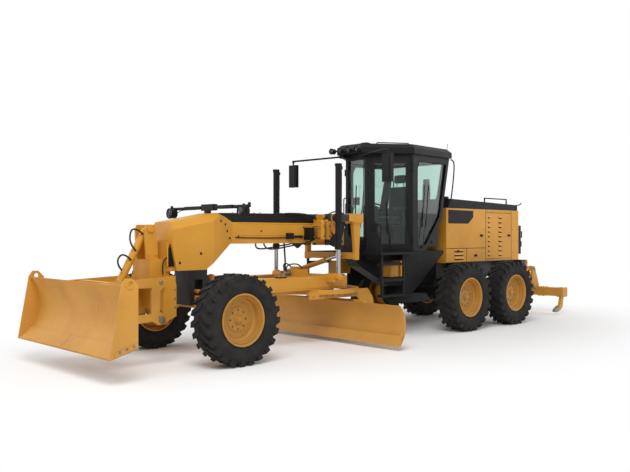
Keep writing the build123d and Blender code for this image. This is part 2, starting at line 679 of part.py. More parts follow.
with BuildPart() as valve_blocks:
    for side in (1, -1):
        low_y, high_y = sorted((side * beam_width / 2, side * 300))
        block((back(2540), low_y, 1700), (back(2260), high_y, 1890))
        block((back(2500), low_y, 1890), (back(2300), high_y, 1985))
keep("valve_blocks", valve_blocks)

for hand, side in (("left", 1), ("right", -1)):
    y = side * lift_y
    trunnion = (back(lift_trunnion_back), y, lift_trunnion_z)
    with BuildPart() as barrel:
        bar((trunnion[0], y, lift_barrel_bottom_z), (trunnion[0], y, lift_barrel_top_z), lift_barrel_radius)
        bar((trunnion[0], y, lift_barrel_bottom_z), (trunnion[0], y, lift_barrel_bottom_z + 70), lift_barrel_radius + 9)
        bar((trunnion[0], y, lift_barrel_top_z - 40), (trunnion[0], y, lift_barrel_top_z), lift_barrel_radius + 7)
        bar((trunnion[0], y, lift_barrel_bottom_z - 1), (trunnion[0], y, lift_barrel_top_z - 60),
            lift_rod_radius + running_gap, mode=Mode.SUBTRACT)
    keep(f"lift_barrel_{hand}", barrel)
    with BuildPart() as rod:
        bar((trunnion[0], y, lift_foot_z), (trunnion[0], y, lift_foot_z + 1310), lift_rod_radius)
        bar((trunnion[0], y - 35, lift_foot_z), (trunnion[0], y + 35, lift_foot_z), 55)
    keep(f"lift_rod_{hand}", rod)

# ---------------------------------------------------------------- drawbar
drawbar_bottom_z = circle_top_z + side_gap
drawbar_rear_back = 2640
with BuildPart() as drawbar:
    with Locations((back(ball_back), 0, ball_z)):
        Sphere(80)
    plate(level(975), [(back(ball_back), 70), (back(ball_back), -70), (back(900), -520), (back(drawbar_rear_back), -560),
          (back(drawbar_rear_back), 560), (back(900), 520)], 2 * (975 - drawbar_bottom_z))
    plate(level(975), [(back(800), 0), (back(1150), -330), (back(2500), -400), (back(2500), 400),
          (back(1150), 330)], 400, mode=Mode.SUBTRACT)
    block((back(700), -60, 980), (back(ball_back), 60, 1130))
    # cross plate with the circle's drive
    block((back(2200), -450, 1000), (back(1850), 450, 1070))
    block((back(2160), -150, 1060), (back(1890), 150, 1180))
    bar((back(2030), 0, 1180), (back(2030), 0, 1215), 80)
    for side in (1, -1):
        low_y, high_y = sorted((side * 540, side * (lift_y - 35 - side_gap)))
        block((back(2330), low_y, 990), (back(2170), high_y, 1120))
    # bracket beside the centre shift cylinder's lower eye
    block((back(shift_back - shift_foot_front - shift_bracket_gap), shift_low_y - 50, 990), (back(2560), -540, 1160))
keep("drawbar", drawbar)

# ---------------------------------------------------------------- circle with the blade arms
with BuildPart() as circle:
    with BuildSketch(level(circle_bottom_z)) as ring:
        with Locations((back(circle_back), 0)):
            Circle(circle_outer_radius)
            Circle(circle_inner_radius, mode=Mode.SUBTRACT)
    extrude(ring.sketch, amount=circle_top_z - circle_bottom_z)
    for side in (1, -1):
        plate(across(side * arm_y), [(back(1760), 850), (back(1760), 730), (back(2820), 730), (back(2900), 640),
              (back(2890), 480), (back(2880), 400), (back(2930), 370), (back(2980), 390), (back(3060), 520),
              (back(3230), 560), (back(3200), 700), (back(3080), 850)], arm_thickness)
        bar((back(tip_pin_back), side * (arm_y - arm_thickness), tip_pin_z),
            (back(tip_pin_back), side * (arm_y + arm_thickness), tip_pin_z), tip_pin_radius + running_gap,
            mode=Mode.SUBTRACT)
keep("circle", circle)

tip_pin_x = back(tip_pin_back)
sideshift_back = 2690
sideshift_z = 655
sideshift_rod = 20
sideshift_near = -450
sideshift_far = 900
with BuildPart() as blade_carrier:
    for side in (1, -1):
        y = side * (arm_y - arm_thickness / 2 - side_gap - 20)
        plate(across(y), [(tip_pin_x - 45, tip_pin_z + 20), (tip_pin_x - 30, tip_pin_z - 40),
              (back(2700), 180), (back(2660), 180), (back(2640), 300), (back(2640), 520), (back(2680), 620),
              (back(2760), 600)], 40)
        bar((tip_pin_x, y, tip_pin_z), (tip_pin_x, side * (arm_y + arm_thickness / 2 + 15), tip_pin_z),
            tip_pin_radius)
    bar((back(2740), -arm_y + 40, 400), (back(2740), arm_y - 40, 400), 45)
    # side shift cylinder's barrel on its two brackets
    block((back(2745), 559, 560), (back(2665), 599, 640))
    block((back(2745), -440, 400), (back(2700), -400, 640))
    bar((back(sideshift_back), sideshift_near, sideshift_z), (back(sideshift_back), sideshift_far, sideshift_z), 36)
    bar((back(sideshift_back), sideshift_near - 1, sideshift_z),
        (back(sideshift_back), sideshift_far - 40, sideshift_z), sideshift_rod + running_gap, mode=Mode.SUBTRACT)
keep("blade_carrier", blade_carrier)

# side shift cylinder: its rod is pinned to the moldboard's right half
edge_x = back(2440)
mold_bottom = moldboard_bottom_z
mold_top = moldboard_bottom_z + moldboard_height
mold_sag = moldboard_radius - math.sqrt(moldboard_radius ** 2 - (moldboard_height / 2) ** 2)
with BuildPart() as moldboard:
    mid = (edge_x - mold_sag, (mold_bottom + mold_top) / 2)
    t = moldboard_thickness
    with BuildSketch(across(0)) as section:
        with BuildLine():
            ThreePointArc((edge_x, mold_bottom), mid, (edge_x, mold_top))
            Line((edge_x, mold_top), (edge_x - t, mold_top))
            ThreePointArc((edge_x - t, mold_top), (mid[0] - t, mid[1]), (edge_x - t, mold_bottom))
            Line((edge_x - t, mold_bottom), (edge_x, mold_bottom))
        make_face()
    extrude(section.sketch, amount=moldboard_length / 2, both=True)
    # cutting edge bolted along the bottom
    plate(across(0), [(edge_x + 14, mold_bottom), (edge_x - 2, mold_bottom), (edge_x - 54, mold_bottom + 150),
          (edge_x - 38, mold_bottom + 156)], moldboard_length)
    # rails on the back
    for rail_z in (215, 545):
        block((back(2640) + seat_gap, -1500, rail_z - 25), (back(2560), 1500, rail_z + 25))
    # side shift cylinder's rod and the lug that holds it
    bar((back(sideshift_back), -1600, sideshift_z), (back(sideshift_back), 330, sideshift_z), sideshift_rod)
    block((back(sideshift_back + 40), -1620, 600), (back(2470), -1570, 680))
keep("moldboard", moldboard)

# ---------------------------------------------------------------- centre shift cylinder
# It lies across the machine: the rod's eye turns on the link bar, the barrel's eye sits on the drawbar
shift_high = Vector(back(shift_back), shift_high_y, shift_high_z)
shift_low = Vector(back(shift_back), shift_low_y, shift_low_z)
shift_way = (shift_low - shift_high).normalized()
shift_length = (shift_low - shift_high).length
shift_barrel_length = 720
with BuildPart() as centreshift_rod:
    bar(shift_high, shift_high + shift_way * 760, shift_rod_radius)
    bar((shift_high.X - shift_eye_half, shift_high_y, shift_high_z),
        (shift_high.X + shift_eye_half, shift_high_y, shift_high_z), shift_eye_radius)
    bar((shift_high.X - shift_eye_half - 1, shift_high_y, shift_high_z),
        (shift_high.X + shift_eye_half + 1, shift_high_y, shift_high_z), shift_pin_radius + running_gap,
        mode=Mode.SUBTRACT)
keep("centreshift_rod", centreshift_rod)
with BuildPart() as centreshift_barrel:
    bar(shift_low - shift_way * shift_barrel_length, shift_low, 42)
    bar((shift_low.X - shift_foot_rear, shift_low_y, shift_low_z),
        (shift_low.X + shift_foot_front, shift_low_y, shift_low_z), shift_eye_radius + 6)
    bar(shift_low - shift_way * (shift_barrel_length + 1), shift_low - shift_way * 70,
        shift_rod_radius + running_gap, mode=Mode.SUBTRACT)
keep("centreshift_barrel", centreshift_barrel)

# ---------------------------------------------------------------- cab
# plan corners of the cab's left half, from the front: back from the front axle, y
CAB_PLAN = [(cab_front_back, cab_front_half), (cab_shoulder_back, cab_half_width),
            (cab_rear_back, cab_rear_half)]


def cab_plan(inset):
    """Cab's plan outline, moved in by a wall."""
    outer = [(back(x), y) for x, y in CAB_PLAN] + [(back(x), -y) for x, y in reversed(CAB_PLAN)]
    with BuildSketch() as plan:
        with BuildLine():
            Polyline(*outer, close=True)
        make_face()
        if inset:
            offset(amount=-inset, kind=Kind.INTERSECTION, mode=Mode.REPLACE)
    return plan.sketch


def cab_profile(inset):
    """Cab's side outline with the cut-away back corner, moved in by a wall."""
    with BuildSketch(across(0)) as profile:
        with BuildLine():
            Polyline((back(cab_front_back - 50), cab_floor_z), (back(4440), cab_floor_z), (back(4940), 2010),
                     (back(cab_rear_back), cab_wall_top_z), (back(cab_front_back - 50), cab_wall_top_z), close=True)
        make_face()
        if inset:
            offset(amount=-inset, kind=Kind.INTERSECTION, mode=Mode.REPLACE)
    return profile.sketch


door_low_z = cab_floor_z + 20
door_high_z = cab_wall_top_z - 30
door_front = Vector(back(cab_front_back), cab_front_half)
door_rear = Vector(back(cab_shoulder_back), cab_half_width)
door_run = (door_rear - door_front).length
door_way = (door_rear - door_front).normalized()
door_start = 60
door_gap = 5                 # all round a closed door
door_end = door_run - 50


def door_plane(side):
    """Plane in the middle of a slanted door: sketch x runs back along the door, sketch y up."""
    along = Vector(door_way.X, side * door_way.Y, 0)
    outward = Vector(door_way.Y, -side * door_way.X, 0)
    origin = Vector(back(cab_front_back), side * cab_front_half, 0) - outward * cab_wall / 2
    return Plane(origin=origin, x_dir=along, z_dir=along.cross(Vector(0, 0, 1)))


# door hinges: their axis along the door and outward from the wall's face
HINGE_HEIGHTS = (1650, cab_wall_top_z - 240)
hinge_along = door_run - 14
hinge_out = 24
hinge_radius = 18
hinge_pin_radius = 9
hinge_axis = door_front + door_way * hinge_along + Vector(door_way.Y, -door_way.X) * hinge_out


def door_window(edge):
    """Outline of a door's window, drawn in by an edge gap."""
    return [(door_start + 200, door_low_z + 90 + edge), (door_end - 70 - edge, door_low_z + 90 + edge),
            (door_end - 70 - edge, door_high_z - 120 - edge), (door_start + 70 + edge, door_high_z - 120 - edge),
            (door_start + 70 + edge, door_low_z + 500)]


def door_block(side, low, high, mode=Mode.ADD):
    """Square block on a door, from its lowest to its highest corner: along the door, up, outward."""
    middle_out = (low[2] + high[2]) / 2 + cab_wall / 2
    plate(door_plane(side), [(low[0], low[1]), (high[0], low[1]), (high[0], high[1]), (low[0], high[1])],
          high[2] - low[2], mode, slide=side * middle_out)


with BuildPart() as cab_hollow:
    extrude(cab_plan(cab_wall), amount=cab_wall_top_z + 100)
    extrude(cab_profile(cab_wall), amount=cab_half_width, both=True, mode=Mode.INTERSECT)

with BuildPart() as cab_frame:
    extrude(cab_plan(0), amount=cab_wall_top_z)
    extrude(cab_profile(0), amount=cab_half_width + 10, both=True, mode=Mode.INTERSECT)
    add(cab_hollow.part, mode=Mode.SUBTRACT)
    # doorways
    for side in (1, -1):
        plate(door_plane(side), [(door_start, door_low_z), (door_end, door_low_z),
              (door_end, door_high_z), (door_start, door_high_z)], cab_wall + 60, mode=Mode.SUBTRACT)
        # side windows
        plate(across(side * 760), [(back(4160), 1540), (back(4440), 1540), (back(4900), 2060),
              (back(5120), window_top_z), (back(4230), window_top_z), (back(4160), window_top_z - 140)], 200,
              mode=Mode.SUBTRACT)
    # windscreen and rear window
    block((back(3600), -cab_front_half + 50, 1560), (back(3300), cab_front_half - 50, window_top_z + 20),
          mode=Mode.SUBTRACT)
    block((back(5400), -600, 2250), (back(4850), 600, window_top_z), mode=Mode.SUBTRACT)
    # hinge pins and the brackets above and below each hinge
    for side in (1, -1):
        for hinge_z in HINGE_HEIGHTS:
            for low, high in ((hinge_z - 60, hinge_z - 41), (hinge_z + 41, hinge_z + 60)):
                door_block(side, (door_end + 16, low, 0), (door_run, high, 44))
            bar((hinge_axis.X, side * hinge_axis.Y, hinge_z - 60), (hinge_axis.X, side * hinge_axis.Y, hinge_z + 60),
                hinge_pin_radius)
keep("cab_frame", cab_frame)

for hand, side in (("left", 1), ("right", -1)):
    with BuildPart() as door:
        plate(door_plane(side), [(door_start + door_gap, door_low_z + door_gap),
              (door_end - door_gap, door_low_z + door_gap), (door_end - door_gap, door_high_z - door_gap),
              (door_start + door_gap, door_high_z - door_gap)], 50)
        for hinge_z in HINGE_HEIGHTS:
            hinge_y = side * hinge_axis.Y
            bar((hinge_axis.X, hinge_y, hinge_z - 40), (hinge_axis.X, hinge_y, hinge_z + 40), hinge_radius)
            door_block(side, (door_end - 50, hinge_z - 40, 1), (hinge_along, hinge_z + 40, 13))
            door_block(side, (door_end - 50, hinge_z - 40, -20), (door_end - 10, hinge_z + 40, 2))
            bar((hinge_axis.X, hinge_y, hinge_z - 41), (hinge_axis.X, hinge_y, hinge_z + 41),
                hinge_pin_radius + running_gap, mode=Mode.SUBTRACT)
        plate(door_plane(side), door_window(0), 60, mode=Mode.SUBTRACT)
    keep(f"door_{hand}", door)
    with BuildPart() as pane:
        plate(door_plane(side), door_window(1), glass_thickness)
    keep(f"door_glass_{hand}", pane)

with BuildPart() as cab_glass:
    for side in (1, -1):
        tilt = math.degrees(math.atan2(cab_half_width - cab_rear_half, cab_rear_back - cab_shoulder_back))
        mid_x = back(cab_shoulder_back)
        plane = Plane(origin=(mid_x, side * (cab_half_width - cab_wall / 2), 0),
                      x_dir=(math.cos(math.radians(tilt)), side * math.sin(math.radians(tilt)), 0),
                      z_dir=(math.sin(math.radians(tilt)) * side, -math.cos(math.radians(tilt)), 0))
        shift = cab_shoulder_back
        plate(plane, [(shift - 4161, 1541), (shift - 4439, 1541), (shift - 4898, 2060), (shift - 5117, window_top_z - 1),
              (shift - 4231, window_top_z - 1), (shift - 4161, window_top_z - 140)], glass_thickness)
    block((back(3484), -cab_front_half + 50, 1560), (back(3476), cab_front_half - 50, window_top_z + 20))
    # rear pane, in the middle of the sloped wall
    rise = Vector(back(cab_rear_back) - back(4940), 0, cab_wall_top_z - 2010).normalized()
    inward = Vector(0, 1, 0).cross(rise)
    pane_foot = Vector(back(4940), 0, 2010) + inward * cab_wall / 2
    foot = (2251 - pane_foot.Z) / rise.Z
    head = (window_top_z - 1 - pane_foot.Z) / rise.Z
    plate(Plane(origin=pane_foot, x_dir=(0, 1, 0), z_dir=inward),
          [(-600, foot), (600, foot), (600, head), (-600, head)], glass_thickness)
keep("cab_glass", cab_glass)

# plan corners of the roof's left half, which overhangs the cab all round
ROOF_PLAN = [(3260, 280), (4030, 840), (5210, 770)]
roof_front_back = ROOF_PLAN[0][0]
with BuildPart() as cab_roof:
    plate(level((cab_wall_top_z + cab_roof_top_z) / 2), [(back(x), y) for x, y in ROOF_PLAN]
          + [(back(x), -y) for x, y in reversed(ROOF_PLAN)], cab_roof_top_z - cab_wall_top_z)
    chamfer(cab_roof.faces().sort_by(Axis.Z)[-1].edges(), length=70)
keep("cab_roof", cab_roof)

# undersides of the step rungs; the turning blade's upper edge passes below the lowest
RUNG_HEIGHTS = (700, 960, 1220)

with BuildPart() as cab_base:
    block((back(4200), -480, 1290), (back(3450), 480, cab_floor_z))
    block((back(4201), -beam_width / 2, 1280), (back(3449), beam_width / 2, neck_top_z), mode=Mode.SUBTRACT)
    for side in (1, -1):
        low_y, high_y = sorted((side * 480, side * 900))
        block((back(4150), low_y, 1400), (back(3090), high_y, 1440))
        # step rungs on their hangers
        for hanger_x in (3125, 3680):
            low_y, high_y = sorted((side * 870, side * 900))
            block((back(hanger_x) - 20, low_y, RUNG_HEIGHTS[0]), (back(hanger_x) + 20, high_y, 1440))
        for rung_z in RUNG_HEIGHTS:
            low_y, high_y = sorted((side * 780, side * 900))
            block((back(3680), low_y, rung_z), (back(3125), high_y, rung_z + 35))
        # skirt behind the steps
        plate(across(side * 690), [(back(3950), 1440), (back(5050), cab_floor_z), (back(5050), 1400),
              (back(4130), 700), (back(3950), 700)], 24)
keep("cab_base", cab_base)

with BuildPart() as seat:
    block((back(4550), -260, 1930), (back(4050), 260, 2050))
    block((back(4660), -250, 1990), (back(4520), 250, 2700))
    block((back(4350), -150, cab_floor_z + cab_wall), (back(4150), 150, 1930))
keep("seat", seat)

with BuildPart() as console:
    block((back(3900), -110, cab_floor_z + cab_wall), (back(3760), 110, 2150))
keep("console", console)

lamp_back = 310
lamp_y = 890
work_light_back = 3185
work_light_z = cab_wall_top_z + 55
nose_peak_z = 2050
with BuildPart() as lamps:
    bar((back(lamp_back), -lamp_y - 60, 2130), (back(lamp_back), lamp_y + 60, 2130), 22)
    for side in (1, -1):
        bar((back(lamp_back - 100), side * lamp_y, 2060), (back(lamp_back), side * lamp_y, 2060), 75)
        # bracket of the light bar on the roof's front
        low_y, high_y = sorted((side * 185, side * 215))
        block((back(roof_front_back), low_y, work_light_z - 15), (back(work_light_back), high_y, work_light_z + 15))
    bar((back(work_light_back), -370, work_light_z), (back(work_light_back), 370, work_light_z), 14)
    for light_y in (-300, -100, 100, 300):
        bar((back(work_light_back + 30), light_y, work_light_z), (back(work_light_back - 40), light_y, work_light_z), 48)
    # stand on the nose's ridge
    block((back(lamp_back), -60, nose_peak_z), (back(lamp_back) + 40, 60, 2130))
keep("lamps", lamps)

MIRRORS = [
    # side, distance out, lowest, highest
    (1, 1000, 2600, 3060),
    (-1, 1290, 2610, 3020),
]
with BuildPart() as mirrors:
    for side, mirror_y, low_z, high_z in MIRRORS:
        # foot under the roof's overhang, arm and the mirror on its stem
        low_y, high_y = sorted((side * 180, side * 280))
        block((back(3400), low_y, cab_wall_top_z - 60), (back(3320), high_y, cab_wall_top_z))
        bar((back(3340), side * 230, cab_wall_top_z - 30), (back(3130), side * mirror_y, high_z + 70), 16)
        bar((back(3130), side * mirror_y, high_z - 20), (back(3130), side * mirror_y, high_z + 86), 14)
        low_y, high_y = sorted((side * (mirror_y - 95), side * (mirror_y + 95)))
        block((back(3170), low_y, low_z), (back(3105), high_y, high_z))
keep("mirrors", mirrors)

# ---------------------------------------------------------------- ripper
ripper_eye_half = 40
link_y = ripper_ear_y - ripper_ear / 2 - side_gap - ripper_link / 2
for name, pin_z in (("ripper_upper_links", ripper_upper_z), ("ripper_lower_links", ripper_lower_z)):
    with BuildPart() as links:
        for side in (1, -1):
            with BuildSketch(across(side * link_y)) as link:
                with Locations((back((ripper_frame_pin_back + ripper_mast_pin_back) / 2), pin_z)):
                    SlotCenterToCenter(ripper_mast_pin_back - ripper_frame_pin_back, 110)
                with Locations((back(ripper_frame_pin_back), pin_z), (back(ripper_mast_pin_back), pin_z)):
                    Circle(ripper_pin_radius + running_gap, mode=Mode.SUBTRACT)
            extrude(link.sketch, amount=ripper_link / 2, both=True)
        if pin_z == ripper_lower_z:
            cross_back = ripper_frame_pin_back + 300
            bar((back(cross_back), -link_y, pin_z), (back(cross_back), link_y, pin_z), 30)
    keep(name, links)

with BuildPart() as ripper:
    beam_front = back(rear_reach) + ripper_beam_depth
    block((back(rear_reach), -ripper_half_width, ripper_beam_z - ripper_beam_height / 2),
          (beam_front, ripper_half_width, ripper_beam_z + ripper_beam_height / 2))
    for side in (1, -1):
        plate(across(side * ripper_ear_y),
              [(back(ripper_mast_pin_back - 50), ripper_lower_z - 40), (beam_front - 5, ripper_beam_z - 60),
               (beam_front - 5, ripper_beam_z + 80), (back(rear_reach - 40), ripper_beam_z + 90),
               (back(ripper_mast_pin_back + 60), ripper_upper_z + 20), (back(ripper_mast_pin_back + 20), ripper_upper_z + 50),
               (back(ripper_mast_pin_back - 50), ripper_upper_z + 40), (back(ripper_mast_pin_back - 55), ripper_upper_z - 30),
               (back(ripper_mast_pin_back - 55), ripper_lower_z + 30)], ripper_ear)
        for pin_z in (ripper_upper_z, ripper_lower_z):
            bar((back(ripper_mast_pin_back), side * (ripper_ear_y - ripper_ear / 2), pin_z),
                (back(ripper_mast_pin_back), side * (ripper_ear_y - ripper_ear / 2 - side_gap - ripper_link - 6), pin_z),
                ripper_pin_radius)
    # cross tube at the masts' tops, with the cylinder's lug
    bar((back(ripper_mast_pin_back + 110), -ripper_ear_y, ripper_upper_z - 160),
        (back(ripper_mast_pin_back + 110), ripper_ear_y, ripper_upper_z - 160), 40)
    for side in (1, -1):
        plate(across(side * (ripper_eye_half + side_gap + 20)), [(back(9050), 790), (back(8975), 790),
              (back(8860), 950), (back(8850), 1010), (back(8900), 1040), (back(8950), 1020), (back(9060), 860)], 40)
    for index in (0, 2, 4):
        y = (index - 2) * shank_spacing
        plate(across(y), [(back(rear_reach - 60), 430), (back(rear_reach - 150), 430), (back(rear_reach - 220), 200),
              (back(rear_reach - 420), 110), (back(rear_reach - 400), 70), (back(rear_reach - 190), 100),
              (back(rear_reach - 110), 170)], 60)
keep("ripper", ripper)

# the cylinder runs from the bumper's lug to the masts
ripper_cyl_low = Vector(back(8300), 0, 640)
ripper_cyl_high = Vector(back(ripper_mast_pin_back), 0, ripper_upper_z)
ripper_cyl_way = (ripper_cyl_high - ripper_cyl_low).normalized()
ripper_cyl_length = (ripper_cyl_high - ripper_cyl_low).length
with BuildPart() as ripper_barrel:
    bar(ripper_cyl_low, ripper_cyl_low + ripper_cyl_way * 420, 45)
    bar((ripper_cyl_low.X, -ripper_eye_half, ripper_cyl_low.Z), (ripper_cyl_low.X, ripper_eye_half, ripper_cyl_low.Z), 48)
    bar(ripper_cyl_low + ripper_cyl_way * 60, ripper_cyl_low + ripper_cyl_way * 421, 25 + running_gap,
        mode=Mode.SUBTRACT)
keep("ripper_barrel", ripper_barrel)
with BuildPart() as ripper_rod:
    bar(ripper_cyl_low + ripper_cyl_way * 230, ripper_cyl_high, 25)
    bar((ripper_cyl_high.X, -ripper_eye_half, ripper_cyl_high.Z), (ripper_cyl_high.X, ripper_eye_half, ripper_cyl_high.Z), 45)
keep("ripper_rod", ripper_rod)

for piece in finished:
    export_step(piece, f"parts/{piece.label}.step")
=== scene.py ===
import math

import bmesh
import bpy
from mathutils import Matrix, Vector


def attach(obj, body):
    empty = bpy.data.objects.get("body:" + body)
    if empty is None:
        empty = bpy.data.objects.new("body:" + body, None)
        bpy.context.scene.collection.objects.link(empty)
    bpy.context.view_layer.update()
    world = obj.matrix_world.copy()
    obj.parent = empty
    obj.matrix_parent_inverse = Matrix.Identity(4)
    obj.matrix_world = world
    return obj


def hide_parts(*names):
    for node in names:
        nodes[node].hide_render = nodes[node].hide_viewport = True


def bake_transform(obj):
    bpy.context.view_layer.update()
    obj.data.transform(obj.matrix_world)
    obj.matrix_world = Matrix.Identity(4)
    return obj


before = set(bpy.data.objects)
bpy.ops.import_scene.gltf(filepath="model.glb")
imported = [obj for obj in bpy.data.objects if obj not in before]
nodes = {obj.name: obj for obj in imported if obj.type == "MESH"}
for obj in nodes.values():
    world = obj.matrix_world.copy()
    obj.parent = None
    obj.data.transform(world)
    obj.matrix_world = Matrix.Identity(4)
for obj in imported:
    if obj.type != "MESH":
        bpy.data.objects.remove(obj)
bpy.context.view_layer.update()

# ---------------------------------------------------------------- shared dimensions, metres
FRONT_AXLE_X = 3.61
AXLE_Z = 0.61
TRACK = 2.14
MID_BACK, REAR_BACK = 5.1615, 6.6725
CIRCLE_BACK = 2.400
LIFT_BACK, LIFT_Y, LIFT_EYE_Z = 2.250, 0.750, 1.075
RIPPER_FRAME_PIN, RIPPER_MAST_PIN, RIPPER_REAR = 8.420, 8.900, 9.180
BEAM_SIDE, NOSE_SIDE = 0.1275, 0.300
LAMP_Y = 0.89
CAB_FLOOR = 1.512
ROOF_TOP = 3.306
HANDS = (("left", 1), ("right", -1))
AHEAD, BACK, UP = (1, 0, 0), (-1, 0, 0), (0, 0, 1)


def at(ahead, y, z):
    """Point from its distance ahead of the front axle."""
    return Vector((FRONT_AXLE_X + ahead, y, z))


# ---------------------------------------------------------------- camera and lights
scene = bpy.context.scene
scene.view_settings.view_transform = "Standard"

camera_data = bpy.data.cameras.new("camera")
camera_data.sensor_fit = "HORIZONTAL"
camera_data.sensor_width = 36.0
camera_data.lens = 42.07
camera_data.clip_end = 200.0
camera = bpy.data.objects.new("camera", camera_data)
scene.collection.objects.link(camera)
camera.location = at(5.988, 8.8665, 1.7289)
HEADING, PITCH = 3.951347, -0.0013
view_direction = Vector((math.cos(HEADING), math.sin(HEADING), math.tan(PITCH)))
camera.rotation_euler = view_direction.to_track_quat("-Z", "Y").to_euler()
scene.camera = camera

LIT_POINT = Vector((0.0, 0.0, 1.0))
LIGHTS = [
    # name, power, size, place
    ("key", 1150.0, 8.0, (8.5, 7.0, 11.5)),
    ("fill", 320.0, 10.0, (11.0, -8.0, 7.0)),
    ("rear", 320.0, 10.0, (-11.0, 6.0, 7.0)),
]
for name, power, size, place in LIGHTS:
    lamp = bpy.data.lights.new(name, "AREA")
    lamp.shape = "DISK"
    lamp.energy = power
    lamp.size = size
    lamp_object = bpy.data.objects.new(name, lamp)
    scene.collection.objects.link(lamp_object)
    lamp_object.location = place
    lamp_object.rotation_euler = (LIT_POINT - Vector(place)).to_track_quat("-Z", "Y").to_euler()

# ---------------------------------------------------------------- shader nodes
WHITE = (1.0, 1.0, 1.0, 1.0)


def feed(tree, socket, value):
    """Links an output to a socket, or puts a constant on it."""
    if isinstance(value, bpy.types.NodeSocket):
        tree.links.new(value, socket)
    else:
        socket.default_value = value


def node(tree, kind, inputs, output=0):
    """Output of a new shader node; each of its inputs gets an output or a constant."""
    made = tree.nodes.new("ShaderNode" + kind)
    for socket, value in inputs.items():
        feed(tree, made.inputs[socket], value)
    return made.outputs[output]


def calculated(tree, operation, first, second=0.5):
    """Result of a maths node on factors or numbers."""
    made = tree.nodes.new("ShaderNodeMath")
    made.operation = operation
    feed(tree, made.inputs[0], first)
    feed(tree, made.inputs[1], second)
    return made.outputs[0]


def object_place(tree):
    """Coordinates in object space."""
    return node(tree, "TexCoord", {}, "Object")


# the world lights the scene at half strength, and is plain white where it is seen or mirrored
world = bpy.data.worlds.new("world")
scene.world = world
world.use_nodes = True
sky = world.node_tree
sky.nodes.clear()
rays = sky.nodes.new("ShaderNodeLightPath").outputs
seen = calculated(sky, "MAXIMUM", rays["Is Camera Ray"], rays["Is Glossy Ray"])
seen = calculated(sky, "MAXIMUM", seen, rays["Is Transmission Ray"])
lit, plain = (node(sky, "Background", {"Color": WHITE, "Strength": strength}) for strength in (0.50, 1.0))
sky.links.new(node(sky, "MixShader", {0: seen, 1: lit, 2: plain}),
              sky.nodes.new("ShaderNodeOutputWorld").inputs["Surface"])


# ---------------------------------------------------------------- materials
def material(name, color, roughness, metallic=0.0, specular=0.5):
    """New node material; returns it with its tree and its shader."""
    made = bpy.data.materials.new(name)
    made.use_nodes = True
    made.diffuse_color = (*color, 1.0)
    shader = made.node_tree.nodes["Principled BSDF"]
    shader.inputs["Base Color"].default_value = (*color, 1.0)
    shader.inputs["Roughness"].default_value = roughness
    shader.inputs["Metallic"].default_value = metallic
    shader.inputs["Specular IOR Level"].default_value = specular
    return made, made.node_tree, shader


def noise(tree, scale, detail=4.0, roughness=0.55, stretch=None):
    """Noise in object space, as a factor output."""
    place = object_place(tree)
    if stretch:
        place = node(tree, "Mapping", {"Scale": stretch, "Vector": place}, "Vector")
    return node(tree, "TexNoise", {"Scale": scale, "Detail": detail, "Roughness": roughness, "Vector": place}, "Fac")


def ramp(tree, source, stops):
    """Colour ramp over (position, colour) stops."""
    made = tree.nodes.new("ShaderNodeValToRGB")
    for element, (position, color) in zip(made.color_ramp.elements, stops):
        element.position = position
        element.color = (*color, 1.0)
    for position, color in stops[2:]:
        element = made.color_ramp.elements.new(position)
        element.color = (*color, 1.0)
    tree.links.new(source, made.inputs["Fac"])
    return made.outputs["Color"]


def spread(tree, source, low, high):
    """Maps a factor to a range of numbers."""
    return node(tree, "MapRange", {"To Min": low, "To Max": high, "Value": source}, "Result")


def bump(tree, shader, source, strength, distance):
    """Raises the surface by a height factor."""
    raised = node(tree, "Bump", {"Strength": strength, "Distance": distance, "Height": source}, "Normal")
    tree.links.new(raised, shader.inputs["Normal"])


def mix(tree, factor, first, second):
    """Colour mix of two colours or colour outputs."""
    made = tree.nodes.new("ShaderNodeMix")
    made.data_type = "RGBA"
    tree.links.new(factor, made.inputs["Factor"])
    for socket, value in ((made.inputs[6], first), (made.inputs[7], second)):
        feed(tree, socket, (*value, 1.0) if isinstance(value, tuple) else value)
    return made.outputs[2]


def height_factor(tree, low, high):
    """1 at the low height, 0 at the high one, in object space."""
    height = node(tree, "SeparateXYZ", {0: object_place(tree)}, "Z")
    return node(tree, "MapRange", {"From Min": low, "From Max": high, "To Min": 1.0, "To Max": 0.0,
                                   "Value": height}, "Result")


def beyond(tree, axis, bound, way):
    """1 where a coordinate is above a bound (way 1), below it (way -1), or within it either side of 0 (way 0)."""
    measured = node(tree, "SeparateXYZ", {0: object_place(tree)}, axis)
    if way == 0:
        measured = calculated(tree, "ABSOLUTE", measured)
    return calculated(tree, "GREATER_THAN" if way > 0 else "LESS_THAN", measured, bound)


def times(tree, first, second):
    """Product of a factor and another factor or a number."""
    return calculated(tree, "MULTIPLY", first, second)


# paint: its colour, then paler and deeper where it has faded and where it is shaded
YELLOW = ((0.600, 0.272, 0.020), (0.640, 0.300, 0.030), (0.530, 0.232, 0.014))
RIM_YELLOW = ((0.50, 0.225, 0.018), (0.54, 0.25, 0.028), (0.43, 0.19, 0.012))
BLADE_YELLOW = ((0.62, 0.290, 0.034), (0.66, 0.320, 0.050), (0.52, 0.235, 0.024))
DUST = (0.36, 0.25, 0.13)
GRIME = (0.10, 0.075, 0.05)
BLACK = (0.011, 0.011, 0.0115)


